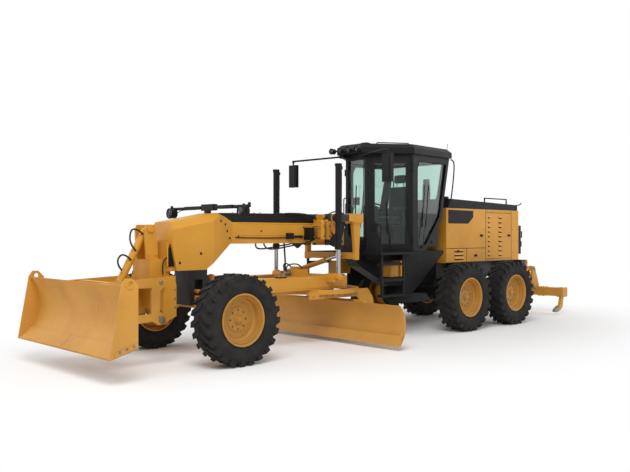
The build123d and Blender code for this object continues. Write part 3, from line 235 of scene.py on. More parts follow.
def painted(name, colors, dust_to, roughness=0.42, dark=()):
    """Sprayed machine paint: patchy fading, fine orange peel, dust low down, grime in specks, and black beyond the
    given bounds, which on the tandem cases' inner faces is painted shade.
    """
    base, pale, deep = colors
    made, tree, shader = material(name, base, roughness, specular=0.35)
    patchy = ramp(tree, noise(tree, 1.3, 5.0), [(0.30, deep), (0.72, pale), (0.5, base)])
    dusty = times(tree, height_factor(tree, 0.0, dust_to), spread(tree, noise(tree, 5.0, 6.0, 0.7), 0.0, 0.55))
    speck = ramp(tree, noise(tree, 38.0, 3.0), [(0.62, (0.0, 0.0, 0.0)), (0.78, (0.45, 0.45, 0.45))])
    color = mix(tree, dusty, patchy, DUST)
    color = mix(tree, times(tree, speck, 0.25), color, GRIME)
    for axis, bound, way in dark:
        color = mix(tree, beyond(tree, axis, bound, way), color, BLACK)
    tree.links.new(color, shader.inputs["Base Color"])
    uneven = spread(tree, noise(tree, 9.0, 4.0), roughness - 0.08, roughness + 0.14)
    tree.links.new(uneven, shader.inputs["Roughness"])
    bump(tree, shader, noise(tree, 260.0, 2.0), 0.05, 0.001)
    return made


def worn_steel(name, color, roughness=0.38):
    """Bare steel polished by soil, streaked along the machine's width."""
    made, tree, shader = material(name, color, roughness, metallic=0.85)
    streak = noise(tree, 16.0, 5.0, 0.6, (8.0, 0.6, 8.0))
    rust = ramp(tree, noise(tree, 6.0, 6.0, 0.7), [(0.42, color), (0.75, (0.17, 0.085, 0.04))])
    tree.links.new(mix(tree, times(tree, streak, 0.5), color, rust), shader.inputs["Base Color"])
    tree.links.new(spread(tree, streak, roughness - 0.1, roughness + 0.25), shader.inputs["Roughness"])
    bump(tree, shader, streak, 0.15, 0.002)
    return made


def rubber(name, color, dust, roughness=0.85):
    """Tyre rubber with dust caught in it."""
    made, tree, shader = material(name, color, roughness, specular=0.25)
    caught = times(tree, ramp(tree, noise(tree, 7.0, 6.0, 0.7), [(0.35, (0.0,) * 3), (0.75, (1.0,) * 3)]), dust)
    tree.links.new(mix(tree, caught, color, (0.22, 0.19, 0.15)), shader.inputs["Base Color"])
    bump(tree, shader, noise(tree, 90.0, 3.0), 0.12, 0.002)
    return made


def coated(name, color, roughness, grain=180.0, depth=0.08, metallic=0.0, worn=0.4):
    """Black or grey coating with a fine grain and faint scuffs."""
    made, tree, shader = material(name, color, roughness, metallic, specular=0.16)
    scuffed = ramp(tree, noise(tree, 11.0, 6.0, 0.65), [(0.50, (0.0,) * 3), (0.8, (worn,) * 3)])
    paler = tuple(min(1.0, part * 2.2 + 0.03) for part in color)
    tree.links.new(mix(tree, scuffed, color, paler), shader.inputs["Base Color"])
    uneven = spread(tree, noise(tree, 6.0, 3.0), roughness - 0.08, roughness + 0.12)
    tree.links.new(uneven, shader.inputs["Roughness"])
    bump(tree, shader, noise(tree, grain, 3.0), depth, 0.001)
    return made


def plain_chrome(name):
    """Polished rod with faint rings round it."""
    made, tree, shader = material(name, (0.40, 0.405, 0.42), 0.20, metallic=1.0)
    rings = noise(tree, 12.0, 4.0, 0.6, (1.0, 1.0, 20.0))
    tree.links.new(spread(tree, rings, 0.14, 0.30), shader.inputs["Roughness"])
    return made


def window_glass(name, color):
    """Clear glass with a faint tint, thin enough not to bend what is behind it."""
    made, tree, shader = material(name, color, 0.02)
    shader.inputs["Transmission Weight"].default_value = 1.0
    shader.inputs["IOR"].default_value = 1.02
    shader.inputs["Coat Weight"].default_value = 0.6
    shader.inputs["Coat Roughness"].default_value = 0.03
    tint = ramp(tree, noise(tree, 1.2, 2.0), [(0.3, color), (0.8, tuple(part * 0.93 for part in color))])
    tree.links.new(tint, shader.inputs["Base Color"])
    return made


def woven(name, color, pale):
    """Seat cloth: crossed ribs a few millimetres wide with sheen."""
    made, tree, shader = material(name, color, 0.9, specular=0.2)
    ribs = []
    for axis in ("X", "Z"):
        wave = tree.nodes.new("ShaderNodeTexWave")
        wave.bands_direction = axis
        wave.inputs["Scale"].default_value = 190.0
        wave.inputs["Distortion"].default_value = 0.6
        tree.links.new(object_place(tree), wave.inputs["Vector"])
        ribs.append(wave.outputs["Fac"])
    woven_height = times(tree, ribs[0], ribs[1])
    tree.links.new(mix(tree, woven_height, color, pale), shader.inputs["Base Color"])
    bump(tree, shader, woven_height, 0.5, 0.0015)
    shader.inputs["Sheen Weight"].default_value = 0.3
    return made


MAT = {
    "yellow": painted("machine_yellow", YELLOW, 1.2),
    "beam_yellow": painted("beam_yellow", YELLOW, 1.2, dark=(("X", FRONT_AXLE_X - 2.99, -1), ("Z", 1.239, -1))),
    "rear_yellow": painted("rear_yellow", YELLOW, 1.2, dark=(("X", FRONT_AXLE_X - 8.16, 1),)),
    # tandem cases: black on their inner faces, within 0.70 m of the middle, as painted shade
    "case_yellow_painted_shade": painted("case_yellow_painted_shade", YELLOW, 1.2, dark=(("Y", 0.70, 0),)),
    "saddle_yellow": painted("saddle_yellow", YELLOW, 1.2, dark=(("X", FRONT_AXLE_X - 2.60, 1),)),
    "rim_yellow": painted("rim_yellow", RIM_YELLOW, 1.4),
    "blade_yellow": painted("blade_yellow", BLADE_YELLOW, 1.3, 0.5),
    "steel": worn_steel("worn_steel", (0.30, 0.285, 0.265)),
    "tyre": rubber("tyre_rubber", (0.0100, 0.0100, 0.0108), 0.10),
    "hose": rubber("hose_rubber", (0.010, 0.010, 0.011), 0.12, 0.6),
    "seal": rubber("seal_rubber", (0.012, 0.012, 0.012), 0.08, 0.7),
    "black": coated("black_coat", (0.008, 0.008, 0.0083), 0.50, worn=0.08),
    "cab": coated("cab_coat", (0.0085, 0.0085, 0.0088), 0.45, grain=240.0, depth=0.04, worn=0.05),
    "grey": coated("cast_grey", (0.09, 0.09, 0.092), 0.6, grain=70.0, depth=0.2),
    "plastic": coated("moulded_plastic", (0.030, 0.030, 0.031), 0.55, grain=400.0, depth=0.15, worn=0.1),
    "chrome": plain_chrome("rod_chrome"),
    "glass": window_glass("cab_glass", (0.62, 0.78, 0.72)),
    "glass_dark": coated("display_face", (0.006, 0.008, 0.010), 0.12, grain=5.0, depth=0.0, worn=0.0),
    "lens": window_glass("lamp_lens", (0.93, 0.95, 0.96)),
    "amber": coated("amber_lens", (0.75, 0.17, 0.015), 0.2, grain=60.0, depth=0.15, worn=0.0),
    "red": coated("red_lens", (0.45, 0.015, 0.015), 0.2, grain=60.0, depth=0.15, worn=0.0),
    "cloth": woven("seat_cloth", (0.022, 0.022, 0.026), (0.06, 0.06, 0.068)),
    "bolt": coated("plated_bolt", (0.24, 0.22, 0.18), 0.45, grain=60.0, depth=0.1, metallic=0.7),
    "mirror": coated("mirror_face", (0.72, 0.74, 0.76), 0.05, grain=5.0, depth=0.0, metallic=1.0, worn=0.0),
}

NODE_MATERIALS = [
    # material, the start of the names of the nodes that have it
    ("rim_yellow", ("rim_",)),
    ("tyre", ("tyre_",)),
    ("chrome", ("lift_rod", "centreshift_rod", "dozer_rod", "ripper_rod")),
    ("cab", ("cab_frame", "cab_roof", "door_left", "door_right")),
    ("glass", ("cab_glass", "door_glass")),
    ("grey", ("engine",)),
    ("black", ("hood_cover", "rear_guard", "cab_base", "mirrors", "lamps", "ripper_barrel", "beam_cover",
               "lift_barrel", "rear_axle")),
    ("plastic", ("console",)),
    ("beam_yellow", ("front_frame",)),
    ("rear_yellow", ("rear_frame",)),
    ("case_yellow_painted_shade", ("tandem_cases",)),
    ("saddle_yellow", ("lift_saddle",)),
    ("blade_yellow", ("dozer_blade", "moldboard")),
    ("cloth", ("seat",)),
]


def soften(made, width, angle):
    """Rounds the edges that turn by more than an angle."""
    rounded = made.modifiers.new("edge", "BEVEL")
    rounded.width = width
    rounded.segments = 2
    rounded.limit_method = "ANGLE"
    rounded.angle_limit = math.radians(angle)


for node_name, node_object in nodes.items():
    chosen = "yellow"
    for key, starts in NODE_MATERIALS:
        if node_name.startswith(starts):
            chosen = key
    node_object.data.materials.clear()
    node_object.data.materials.append(MAT[chosen])
    soften(node_object, 0.004, 40)


# ---------------------------------------------------------------- floor
FLOOR_SIZE = 60.0
# matt near the machine, where it takes the shadow, and glowing white farther off
floor_material, floor_tree, floor_shader = material("floor", (0.95, 0.95, 0.95), 0.9, specular=0.0)
reach = floor_tree.nodes.new("ShaderNodeVectorMath")
reach.operation = "LENGTH"
fade = floor_tree.nodes.new("ShaderNodeMapRange")
fade.interpolation_type = "SMOOTHSTEP"
fade.inputs["From Min"].default_value = 4.0
fade.inputs["From Max"].default_value = 8.5
stretched = node(floor_tree, "Mapping", {"Scale": (1.0, 1.7, 1.0), "Vector": object_place(floor_tree)})
floor_tree.links.new(stretched, reach.inputs[0])
floor_tree.links.new(reach.outputs["Value"], fade.inputs["Value"])
glow = node(floor_tree, "Emission", {"Color": WHITE, "Strength": 1.0})
blended = node(floor_tree, "MixShader", {0: fade.outputs["Result"], 1: floor_shader.outputs["BSDF"], 2: glow})
floor_tree.links.new(blended, floor_tree.nodes["Material Output"].inputs["Surface"])
floor_mesh = bpy.data.meshes.new("floor")
floor_build = bmesh.new()
bmesh.ops.create_grid(floor_build, x_segments=1, y_segments=1, size=FLOOR_SIZE)
floor_build.to_mesh(floor_mesh)
floor_build.free()
floor = bpy.data.objects.new("floor", floor_mesh)
scene.collection.objects.link(floor)
floor.data.materials.append(floor_material)


def settle(made, key, body, edge=0.0, smooth=False):
    """Gives a new object its material, body and rounded edges."""
    scene.collection.objects.link(made)
    made.data.materials.append(MAT[key])
    if edge:
        soften(made, edge, 35)
    if smooth:
        for polygon in made.data.polygons:
            polygon.use_smooth = True
    if body:
        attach(made, body)
    return made


def piece(name, build, key, body, edge=0.0, smooth=False):
    """Object from a mesh under construction, already in place."""
    mesh = bpy.data.meshes.new(name)
    bmesh.ops.recalc_face_normals(build, faces=build.faces[:])
    build.to_mesh(mesh)
    build.free()
    return settle(bpy.data.objects.new(name, mesh), key, body, edge, smooth)


def block(build, corner, opposite, turn=None):
    """Square block between two opposite corners, turned by a matrix if one is given."""
    low, high = (Vector([choose(pair) for pair in zip(corner, opposite)]) for choose in (min, max))
    middle = (low + high) / 2
    size = high - low
    for vertex in bmesh.ops.create_cube(build, size=1.0)["verts"]:
        vertex.co = Vector(vertex.co[axis] * size[axis] + middle[axis] for axis in range(3))
        if turn is not None:
            vertex.co = turn @ vertex.co


def standing(place, direction):
    """Matrix that puts the Z axis at a place, along a direction."""
    return Matrix.Translation(place) @ Vector(direction).to_track_quat("Z", "Y").to_matrix().to_4x4()


def around(count, shift=0.5):
    """Cosine and sine of evenly spaced turns."""
    for k in range(count):
        turn = 2 * math.pi * (k + shift) / count
        yield math.cos(turn), math.sin(turn)


def turned(build, place, direction, profile, segments=20, hoop=False):
    """Solid of revolution: the profile is (distance along, radius) pairs; a hoop's profile closes on itself."""
    turn = standing(place, direction)
    rings = []
    for along, radius in profile:
        ring = [turn @ Vector((radius * cosine, radius * sine, along)) for cosine, sine in around(segments, 0)]
        rings.append([build.verts.new(point) for point in (ring if radius > 1e-6 else ring[:1])])
    for first, second in zip(rings, rings[1:] + rings[:1] if hoop else rings[1:]):
        for k in range(segments):
            corners = [first[k % len(first)], first[(k + 1) % len(first)],
                       second[(k + 1) % len(second)], second[k % len(second)]]
            corners = list(dict.fromkeys(corners))
            if len(corners) > 2:
                build.faces.new(corners)
    if not hoop:
        for ring in (rings[0], rings[-1]):
            if len(ring) > 2:
                build.faces.new(ring)


def stepped(*steps):
    """Profile of round steps, one on the other: each is (height of its top, radius)."""
    profile = []
    low = 0.0
    for top, radius in steps:
        profile += [(low, radius), (top, radius)]
        low = top
    return profile + [(low, 0.0)]


def pin_head(foot, washer, radius, collar, height):
    """Profile of a pin's washer, from its foot, with a collar on it."""
    return [(foot, radius), (washer, radius), (washer + 0.002, collar), (height, collar - 0.002), (height, 0.0)]


def pivot(radius, height):
    """Profile of a wiper's pivot."""
    return [(0.0, radius), (0.018, radius - 0.002), (height, 0.014), (height, 0.0)]


def slab(build, outline, direction, thickness):
    """Flat plate: an outline of points pushed along a direction."""
    push = Vector(direction).normalized() * thickness
    first = [build.verts.new(Vector(point)) for point in outline]
    second = [build.verts.new(Vector(point) + push) for point in outline]
    build.faces.new(first)
    build.faces.new(second)
    for k in range(len(outline)):
        build.faces.new([first[k], first[(k + 1) % len(outline)], second[(k + 1) % len(outline)], second[k]])


def plate(build, y, push, outline):
    """Upright plate: an outline of (ahead, z) points at y, pushed across the machine."""
    slab(build, [at(ahead, y, z) for ahead, z in outline], (0, push, 0), abs(push))


def oblong(first, second, low, high):
    """Corners of a rectangle."""
    return [(first, low), (second, low), (second, high), (first, high)]


def bolt(build, place, direction, radius):
    """Hexagon head on its washer."""
    washer, head, height = radius * 0.2, radius * 1.1, radius * 0.75
    turned(build, place, direction, [(0.0, radius * 1.45), (washer, radius * 1.45), (washer, head)], 16)
    turned(build, place, direction, [(washer, head), (height, head), (height * 1.15, radius * 0.9)], 6)


def side_bolts(build, face, radius, spots):
    """Bolts on one side, at (ahead, z) spots of a face across the machine."""
    for ahead, z in spots:
        bolt(build, at(ahead, face, z), (0, math.copysign(1, face), 0), radius)


def places(run, side=1):
    """Places along a run of (ahead, y, z) points, or along its mirror image for side -1."""
    return [at(ahead, side * y, z) for ahead, y, z in run]


def both(*runs):
    """Places along each run, on the left and mirrored on the right."""
    return [places(run, side) for run in runs for side in (1, -1)]


def pipes(name, runs, radius, key, body):
    """Hoses or rails along smooth curves, one for each run of places."""
    curve = bpy.data.curves.new(name, "CURVE")
    curve.dimensions = "3D"
    curve.bevel_depth = radius
    curve.bevel_resolution = 3
    curve.resolution_u = 10
    curve.use_fill_caps = True
    for run in runs:
        spline = curve.splines.new("NURBS")
        spline.points.add(len(run) - 1)
        for point, place in zip(spline.points, run):
            point.co = (*place, 1.0)
        spline.order_u = min(4, len(run))
        spline.use_endpoint_u = True
    return settle(bpy.data.objects.new(name, curve), key, body)


def rail(name, runs, radius, key, body):
    """Bent bars with short bends at their corners."""
    eased = []
    for run in runs:
        made = [run[0]]
        for before, corner, after in zip(run, run[1:], run[2:]):
            into, out = (corner + (other - corner).normalized() * min(0.045, (other - corner).length * 0.45)
                         for other in (before, after))
            made += [into, into.lerp(corner, 0.5), out.lerp(corner, 0.5), out]
        eased.append(made + [run[-1]])
    return pipes(name, eased, radius, key, body)


# ---------------------------------------------------------------- wheels
WHEELS = [
    # name, distance behind the front axle, bolts, their circle, rise and size, material
    ("front", 0.0, 8, 0.225, 0.0, 0.009, "rim_yellow"),
    ("mid", MID_BACK, 10, 0.142, 0.008, 0.014, "bolt"),
    ("rear", REAR_BACK, 10, 0.142, 0.008, 0.014, "bolt"),
]
DISC_FACE = 0.022
FLANGE_ROLL = [(0.146, 0.343), (0.150, 0.352), (0.158, 0.354), (0.163, 0.348),
               (0.163, 0.338), (0.158, 0.331), (0.150, 0.326), (0.146, 0.3255)]
LOCK_RING = [(0.128, 0.3185), (0.134, 0.3135), (0.134, 0.3065), (0.128, 0.3045), (0.122, 0.306)]
HUB_CAP = [(0.020, 0.052), (0.026, 0.052), (0.034, 0.046), (0.034, 0.030), (0.044, 0.026), (0.046, 0.0)]
VALVE_STEM = [(0.0, 0.008), (0.03, 0.006), (0.045, 0.006), (0.05, 0.004)]
SIDEWALL_RING = [(-0.004, -0.006), (0.004, -0.004), (0.005, 0.0), (0.003, 0.005), (-0.006, 0.007)]
for axle, wheel_back, bolts, circle, rise, size, key in WHEELS:
    for hand, side in HANDS:
        out = Vector((0, side, 0))
        middle = at(-wheel_back, side * TRACK / 2, AXLE_Z)
        name = axle + "_" + hand
        body = "wheel_" + name
        rings = bmesh.new()
        turned(rings, middle, out, FLANGE_ROLL, 72, hoop=True)
        turned(rings, middle, out, LOCK_RING, 72, hoop=True)
        piece("rim_rings_" + name, rings, "rim_yellow", body, smooth=True)
        studs = bmesh.new()
        for cosine, sine in around(bolts):
            bolt(studs, middle + out * (DISC_FACE + rise) + Vector((cosine, 0, sine)) * circle, out, size)
        turned(studs, middle + out * 0.045 + Vector((0.235, 0, 0.12)), out, VALVE_STEM, 10)
        piece("rim_bolts_" + name, studs, key, body, edge=0.0008)
        cap = bmesh.new()
        turned(cap, middle, out, [(DISC_FACE + along, radius) for along, radius in HUB_CAP], 40)
        piece("hub_cap_" + name, cap, "rim_yellow", body, edge=0.0015)
        # raised rings on both sidewalls
        walls = bmesh.new()
        for wall in (1, -1):
            for radius, height in ((0.372, 0.160), (0.520, 0.1815)):
                ring = [(height + along, radius + wider) for along, wider in SIDEWALL_RING]
                turned(walls, middle, out * wall, ring, 96, hoop=True)
        piece("sidewall_rings_" + name, walls, "tyre", body, smooth=True)

# ---------------------------------------------------------------- hood
HOOD_Y = 0.55
HOOD_FRONT, HOOD_REAR = 5.34, 7.88
COVER_FRONT, COVER_TOP, COVER_SLOPE = 5.50, 2.42, 0.06 / 2.38
LOUVRES = [
    # distance behind the front axle, length of a slot, rows, lowest slot, pitch
    (5.60, 0.29, 3, 1.250, 0.075),
    (6.74, 0.07, 9, 1.300, 0.095),
    (7.12, 0.12, 9, 1.300, 0.095),
]
LOUVRE_LIP = ((0.0, 0.012), (0.014, -0.014), (0.011, -0.016), (0.0, 0.004))
SEAMS = [
    # rear end, front end, low, high of a panel line on the hood's sides
    (6.655, 6.645, 1.21, 2.23), (6.645, 5.345, 1.468, 1.478), (7.60, 7.59, 1.21, 2.23),
    (6.00, 5.99, 1.21, 1.468), (7.59, 6.655, 2.175, 2.183), (7.59, 6.655, 1.250, 1.258),
]
LATCH_PULL = [(0, 0.014), (0.010, 0.013), (0.010, 0.006), (0.004, 0.006), (0.004, 0)]
lips, seams, hood_bolts, latches, panels = (bmesh.new() for _ in range(5))
for side in (1, -1):
    face = side * HOOD_Y
    for slot_back, length, rows, low, pitch in LOUVRES:
        for row in range(rows):
            top = low + row * pitch + 0.038
            slab(lips, [at(-slot_back, face + side * out, top + up) for out, up in LOUVRE_LIP], BACK, length)
    for rear, front, low, high in SEAMS:
        block(seams, at(-rear, face, low), at(-front, face + side * 0.0015, high))
    side_bolts(hood_bolts, face, 0.008, [(-6.72 - k * 0.105, z) for k in range(9) for z in (1.228, 2.207)])
    side_bolts(hood_bolts, face, 0.008, [(-back, z) for z in (1.36, 1.60, 1.84, 2.08)
                                         for back in (5.40, 6.60, 7.66, 7.83)])
    for back, z in ((6.50, 1.72), (5.70, 1.42), (7.50, 1.72), (6.30, 1.33)):
        block(latches, at(-back - 0.045, face, z - 0.022), at(-back + 0.045, face + side * 0.012, z + 0.022))
        turned(latches, at(-back - 0.02, face + side * 0.010, z), (0, side, 0), LATCH_PULL, 16)
    # bare dark panel at the front of each side, its rear edge raked, and the sill under the side panels
    plate(panels, face, side * 0.0025, [(-5.40, 1.95), (-6.05, 1.95), (-6.22, 2.08), (-6.22, 2.205), (-5.40, 2.205)])
    block(panels, at(-HOOD_REAR, face - side * 0.02, 1.196), at(-HOOD_FRONT, face + side * 0.006, 1.212))
piece("hood_louvre_lips", lips, "yellow", "rear", edge=0.001)
piece("hood_seams", seams, "black", "rear")
piece("hood_bolts", hood_bolts, "bolt", "rear")
piece("hood_latches", latches, "black", "rear", edge=0.003)
piece("hood_side_panels", panels, "black", "rear", edge=0.001)

# radiator behind the rear bars, with its fins
core = bmesh.new()
block(core, at(-7.835, -0.42, 1.40), at(-7.80, 0.42, 2.10))
for k in range(60):
    z = 1.41 + k * 0.0115
    block(core, at(-7.842, -0.40, z), at(-7.833, 0.40, z + 0.004))
piece("radiator_core", core, "grey", "rear")
# raised bars of the screens on top of the cover, which slopes down to the rear
screens = bmesh.new()
SCREEN_BARS = 14
for low_y, high_y in ((-0.40, -0.05), (0.05, 0.40)):
    for front, rear in ((6.55, 7.10), (7.20, 7.75)):
        z_front, z_rear = (COVER_TOP - (back - COVER_FRONT) * COVER_SLOPE for back in (front, rear))
        for k in range(SCREEN_BARS):
            y = low_y + (k + 0.5) * (high_y - low_y) / SCREEN_BARS
            slab(screens, [at(-front, *corner) for corner in oblong(y - 0.007, y + 0.007, z_front, z_front + 0.008)],
                 (front - rear, 0, z_rear - z_front), rear - front)
piece("cover_screens", screens, "black", "rear", edge=0.001)
# stack: flared bend, clamp and a slotted heat shield
STACK_FOOT = at(-5.78, -0.26, 2.40)
STACK_PIPE = [(0.02, 0.09), (0.035, 0.09), (0.05, 0.075), (0.33, 0.075),
              (0.34, 0.068), (0.36, 0.068), (0.36, 0.060)]
stack = bmesh.new()
turned(stack, STACK_FOOT, UP, STACK_PIPE, 32)
turned(stack, STACK_FOOT, UP, [(0.40, 0.066), (0.425, 0.066), (0.425, 0.060)], 32)
for k in range(12):
    turn = Matrix.Translation(STACK_FOOT) @ Matrix.Rotation(2 * math.pi * k / 12, 4, "Z")
    for low in (0.09, 0.20):
        block(stack, (0.073, -0.008, low), (0.079, 0.008, low + 0.08), turn)
piece("stack_shield", stack, "grey", "rear", edge=0.001)
pipes("cover_hooks", both([(-7.60, 0.50, 2.36), (-7.86, 0.52, 2.34), (-7.98, 0.53, 2.36), (-8.03, 0.53, 2.41)]),
      0.011, "black", "rear")

# ---------------------------------------------------------------- cab
DOOR_WAY = Vector((-0.60, 0.55, 0)).normalized()
DOOR_GLASS = [(0.26, 1.56), (0.694, 1.56), (0.694, 2.99), (0.13, 2.99), (0.13, 1.97)]
SIDE_GLASS = [(4.161, 1.541), (4.439, 1.541), (4.898, 2.06), (5.117, 3.039), (4.231, 3.039), (4.161, 2.90)]
WALL_FRONT, WALL_Y = 4.05, 0.80
WALL_SLOPE = (WALL_Y - 0.72) / (5.20 - WALL_FRONT)


def door_out(side):
    """Direction out of a door's face."""
    return Vector((DOOR_WAY.y, -side * DOOR_WAY.x, 0))


def on_door(side, along, z, out=0.0):
    """Point on a door: along it from its front corner, up, and outward from its face."""
    return at(-3.45, side * 0.25, z) + Vector((DOOR_WAY.x, side * DOOR_WAY.y, 0)) * along + door_out(side) * out


def on_wall(side, back, z, out=0.0):
    """Point on the cab's rear side wall, outward from its face."""
    return at(-back, side * (WALL_Y - (back - WALL_FRONT) * WALL_SLOPE + out), z)


def band(build, points, out, width, height):
    """Flat ring round a closed outline: it covers the inside of each edge."""
    out = Vector(out).normalized()
    middle = sum(points, Vector()) / len(points)
    inner = []
    for k, corner in enumerate(points):
        before = (points[k - 1] - corner).normalized()
        after = (points[(k + 1) % len(points)] - corner).normalized()
        inward = before + after
        half = max(0.35, math.sin(before.angle(after) / 2))
        inward = inward.normalized() if inward.length > 1e-4 else out.cross(after)
        if inward.dot(middle - corner) < 0:
            inward.negate()
        inner.append(corner + inward * width / half)
    for k in range(len(points)):
        after = (k + 1) % len(points)
        slab(build, [points[k], points[after], inner[after], inner[k]], out, height)


DOOR_LATCH = [
    # outline, its rise from the door, height: plate, lever and its grip
    (oblong(0.10, 0.19, 1.93, 1.80), 0.0, 0.010),
    (oblong(0.115, 0.185, 1.905, 1.885), 0.010, 0.022),
    (oblong(0.115, 0.135, 1.905, 1.82), 0.024, 0.010),
]
DOOR_WIPER = [
    # outline, its rise from the door, height: arm and blade
    ([(0.412, 1.535), (0.428, 1.535), (0.358, 2.02), (0.348, 2.02)], 0.018, 0.008),
    (oblong(0.345, 0.361, 1.74, 2.30), 0.006, 0.014),
]
for hand, side in HANDS:
    body = "door_" + hand
    out = door_out(side)
    gasket, furniture, wiper = (bmesh.new() for _ in range(3))
    band(gasket, [on_door(side, along, z, -0.004) for along, z in DOOR_GLASS], out, 0.016, 0.007)
    piece("door_gasket_" + hand, gasket, "seal", body, edge=0.002)
    for outline, rise, height in DOOR_LATCH:
        slab(furniture, [on_door(side, along, z, rise) for along, z in outline], out, height)
    piece("door_latch_" + hand, furniture, "black", body, edge=0.002)
    grip = [on_door(side, 0.73, z, rise) for z, rise in ((1.78, 0.002), (1.78, 0.055), (2.42, 0.055), (2.42, 0.002))]
    rail("door_grip_" + hand, [grip], 0.011, "black", body)
    turned(wiper, on_door(side, 0.42, 1.535), out, pivot(0.022, 0.024))
    for outline, rise, height in DOOR_WIPER:
        slab(wiper, [on_door(side, along, z, rise) for along, z in outline], out, height)
    piece("door_wiper_" + hand, wiper, "black", body, edge=0.0015)

SIDE_ARM = ((4.292, 1.515, 0.018), (4.308, 1.515, 0.018), (4.45, 2.18, 0.016), (4.438, 2.18, 0.016))
SIDE_BLADE = ((4.40, 1.86, 0.006), (4.417, 1.86, 0.006), (4.51, 2.62, 0.006), (4.493, 2.62, 0.006))
FRONT_ARM = ((-3.43, -0.128, 1.535), (-3.43, -0.112, 1.535), (-3.43, 0.028, 2.20), (-3.43, 0.016, 2.20))
FRONT_BLADE = ((-3.442, -0.02, 1.80), (-3.442, -0.004, 1.80), (-3.442, 0.03, 2.60), (-3.442, 0.014, 2.60))
cab_seals = bmesh.new()
trim = bmesh.new()
for side in (1, -1):
    across = (0, side, 0)
    band(cab_seals, [on_wall(side, back, z, -0.002) for back, z in SIDE_GLASS], across, 0.020, 0.006)
    # wiper of the side window, and a round marker light near the wall's lower rear corner
    turned(trim, on_wall(side, 4.30, 1.515), across, pivot(0.024, 0.024))
    slab(trim, [on_wall(side, *point) for point in SIDE_ARM], across, 0.008)
    slab(trim, [on_wall(side, *point) for point in SIDE_BLADE], across, 0.013)
    turned(trim, on_wall(side, 4.62, 1.60), across, [(0.0, 0.030), (0.010, 0.028), (0.014, 0.020), (0.014, 0.0)], 24)
band(cab_seals, [at(-3.4475, *corner) for corner in oblong(-0.198, 0.198, 1.562, 3.058)], AHEAD, 0.016, 0.006)
piece("cab_seals", cab_seals, "seal", "front", edge=0.002)
turned(trim, at(-3.45, -0.12, 1.535), AHEAD, pivot(0.024, 0.026))
slab(trim, places(FRONT_ARM), AHEAD, 0.008)
slab(trim, places(FRONT_BLADE), AHEAD, 0.013)
piece("cab_trim", trim, "black", "front", edge=0.0015)

# roof: hatch, vents, a low dome, a box and ribs
roof = bmesh.new()
block(roof, at(-4.75, -0.32, ROOF_TOP), at(-4.15, 0.32, 3.322))
for k in range(9):
    block(roof, at(-5.02 + k * 0.016, -0.26, ROOF_TOP), at(-5.02 + k * 0.016 + 0.008, 0.26, 3.316))
turned(roof, at(-3.62, -0.22, 3.305), UP, [(0.0, 0.060), (0.020, 0.058), (0.040, 0.040), (0.048, 0.0)], 28)
block(roof, at(-3.60, 0.06, 3.300), at(-3.50, 0.20, 3.345))
for y in (-0.62, 0.62):
    block(roof, at(-4.98, y - 0.012, 3.300), at(-4.22, y + 0.012, 3.312))
piece("roof_fittings", roof, "cab", "front", edge=0.004)
pipes("antenna", [places([(-5.14, 0.70, 3.22), (-5.155, 0.705, 3.32), (-5.16, 0.71, 3.405)])],
      0.004, "black", "front")
rail("roof_rail", both([(-3.60, 0.35, 3.296), (-3.60, 0.35, 3.335), (-4.10, 0.66, 3.335), (-4.10, 0.66, 3.296)]),
     0.009, "black", "front")
REAR_LAMP = [(-0.02, 0.020), (0.0, 0.048), (0.045, 0.056), (0.052, 0.056),
             (0.052, 0.050), (0.046, 0.050), (0.046, 0.0)]
FRONT_LAMP = [(-0.004, 0.0492), (-0.004, 0.053), (0.014, 0.054), (0.014, 0.047), (0.002, 0.045), (0.002, 0.0)]
REAR_LAMP_WAY = (-1, 0, -0.25)
work = bmesh.new()
work_lens = bmesh.new()
for side in (1, -1):
    for y in (0.60, 0.40):
        place = at(-5.22, side * y, 3.17)
        turned(work, place, REAR_LAMP_WAY, REAR_LAMP, 28)
        turned(work_lens, place, REAR_LAMP_WAY, [(0.047, 0.0495), (0.051, 0.046), (0.054, 0.0)], 28)
    block(work, at(-5.24, side * 0.5 - 0.16, 3.225), at(-5.19, side * 0.5 + 0.16, 3.236))
for y in (-0.30, -0.10, 0.10, 0.30):
    place = at(-3.145, y, 3.195)
    turned(work, place, AHEAD, FRONT_LAMP, 28)
    turned(work_lens, place, AHEAD, [(0.003, 0.0445), (0.008, 0.040), (0.012, 0.0)], 28)
piece("work_lights", work, "black", "front", edge=0.001)
piece("work_light_lenses", work_lens, "lens", "front", smooth=True)
pipes("rear_corner_rails", both([(-5.215, 0.74, 3.12), (-5.30, 0.76, 3.12), (-5.33, 0.745, 2.95),
                                 (-5.31, 0.70, 2.50), (-5.26, 0.70, 2.30)]), 0.012, "black", "front")

# mirrors: glass, shell and clamp
mirror_glass = bmesh.new()
shells = bmesh.new()
for middle, low, high in ((1.00, 2.60, 3.06), (-1.29, 2.61, 3.02)):
    block(mirror_glass, at(-3.1725, middle - 0.082, low + 0.015), at(-3.1705, middle + 0.082, high - 0.015))
    rim = oblong(middle - 0.096, middle + 0.096, low - 0.001, high + 0.001)
    band(shells, [at(-3.170, *corner) for corner in rim], BACK, 0.014, 0.008)
    block(shells, at(-3.112, middle - 0.07, low + 0.05), at(-3.096, middle + 0.07, high - 0.05))
    for z in (high - 0.03, high + 0.055):
        turned(shells, at(-3.13, middle, z - 0.018), UP, [(0, 0.022), (0.036, 0.022)], 18)
piece("mirror_glass", mirror_glass, "mirror", "front")
piece("mirror_shells", shells, "black", "front", edge=0.006)

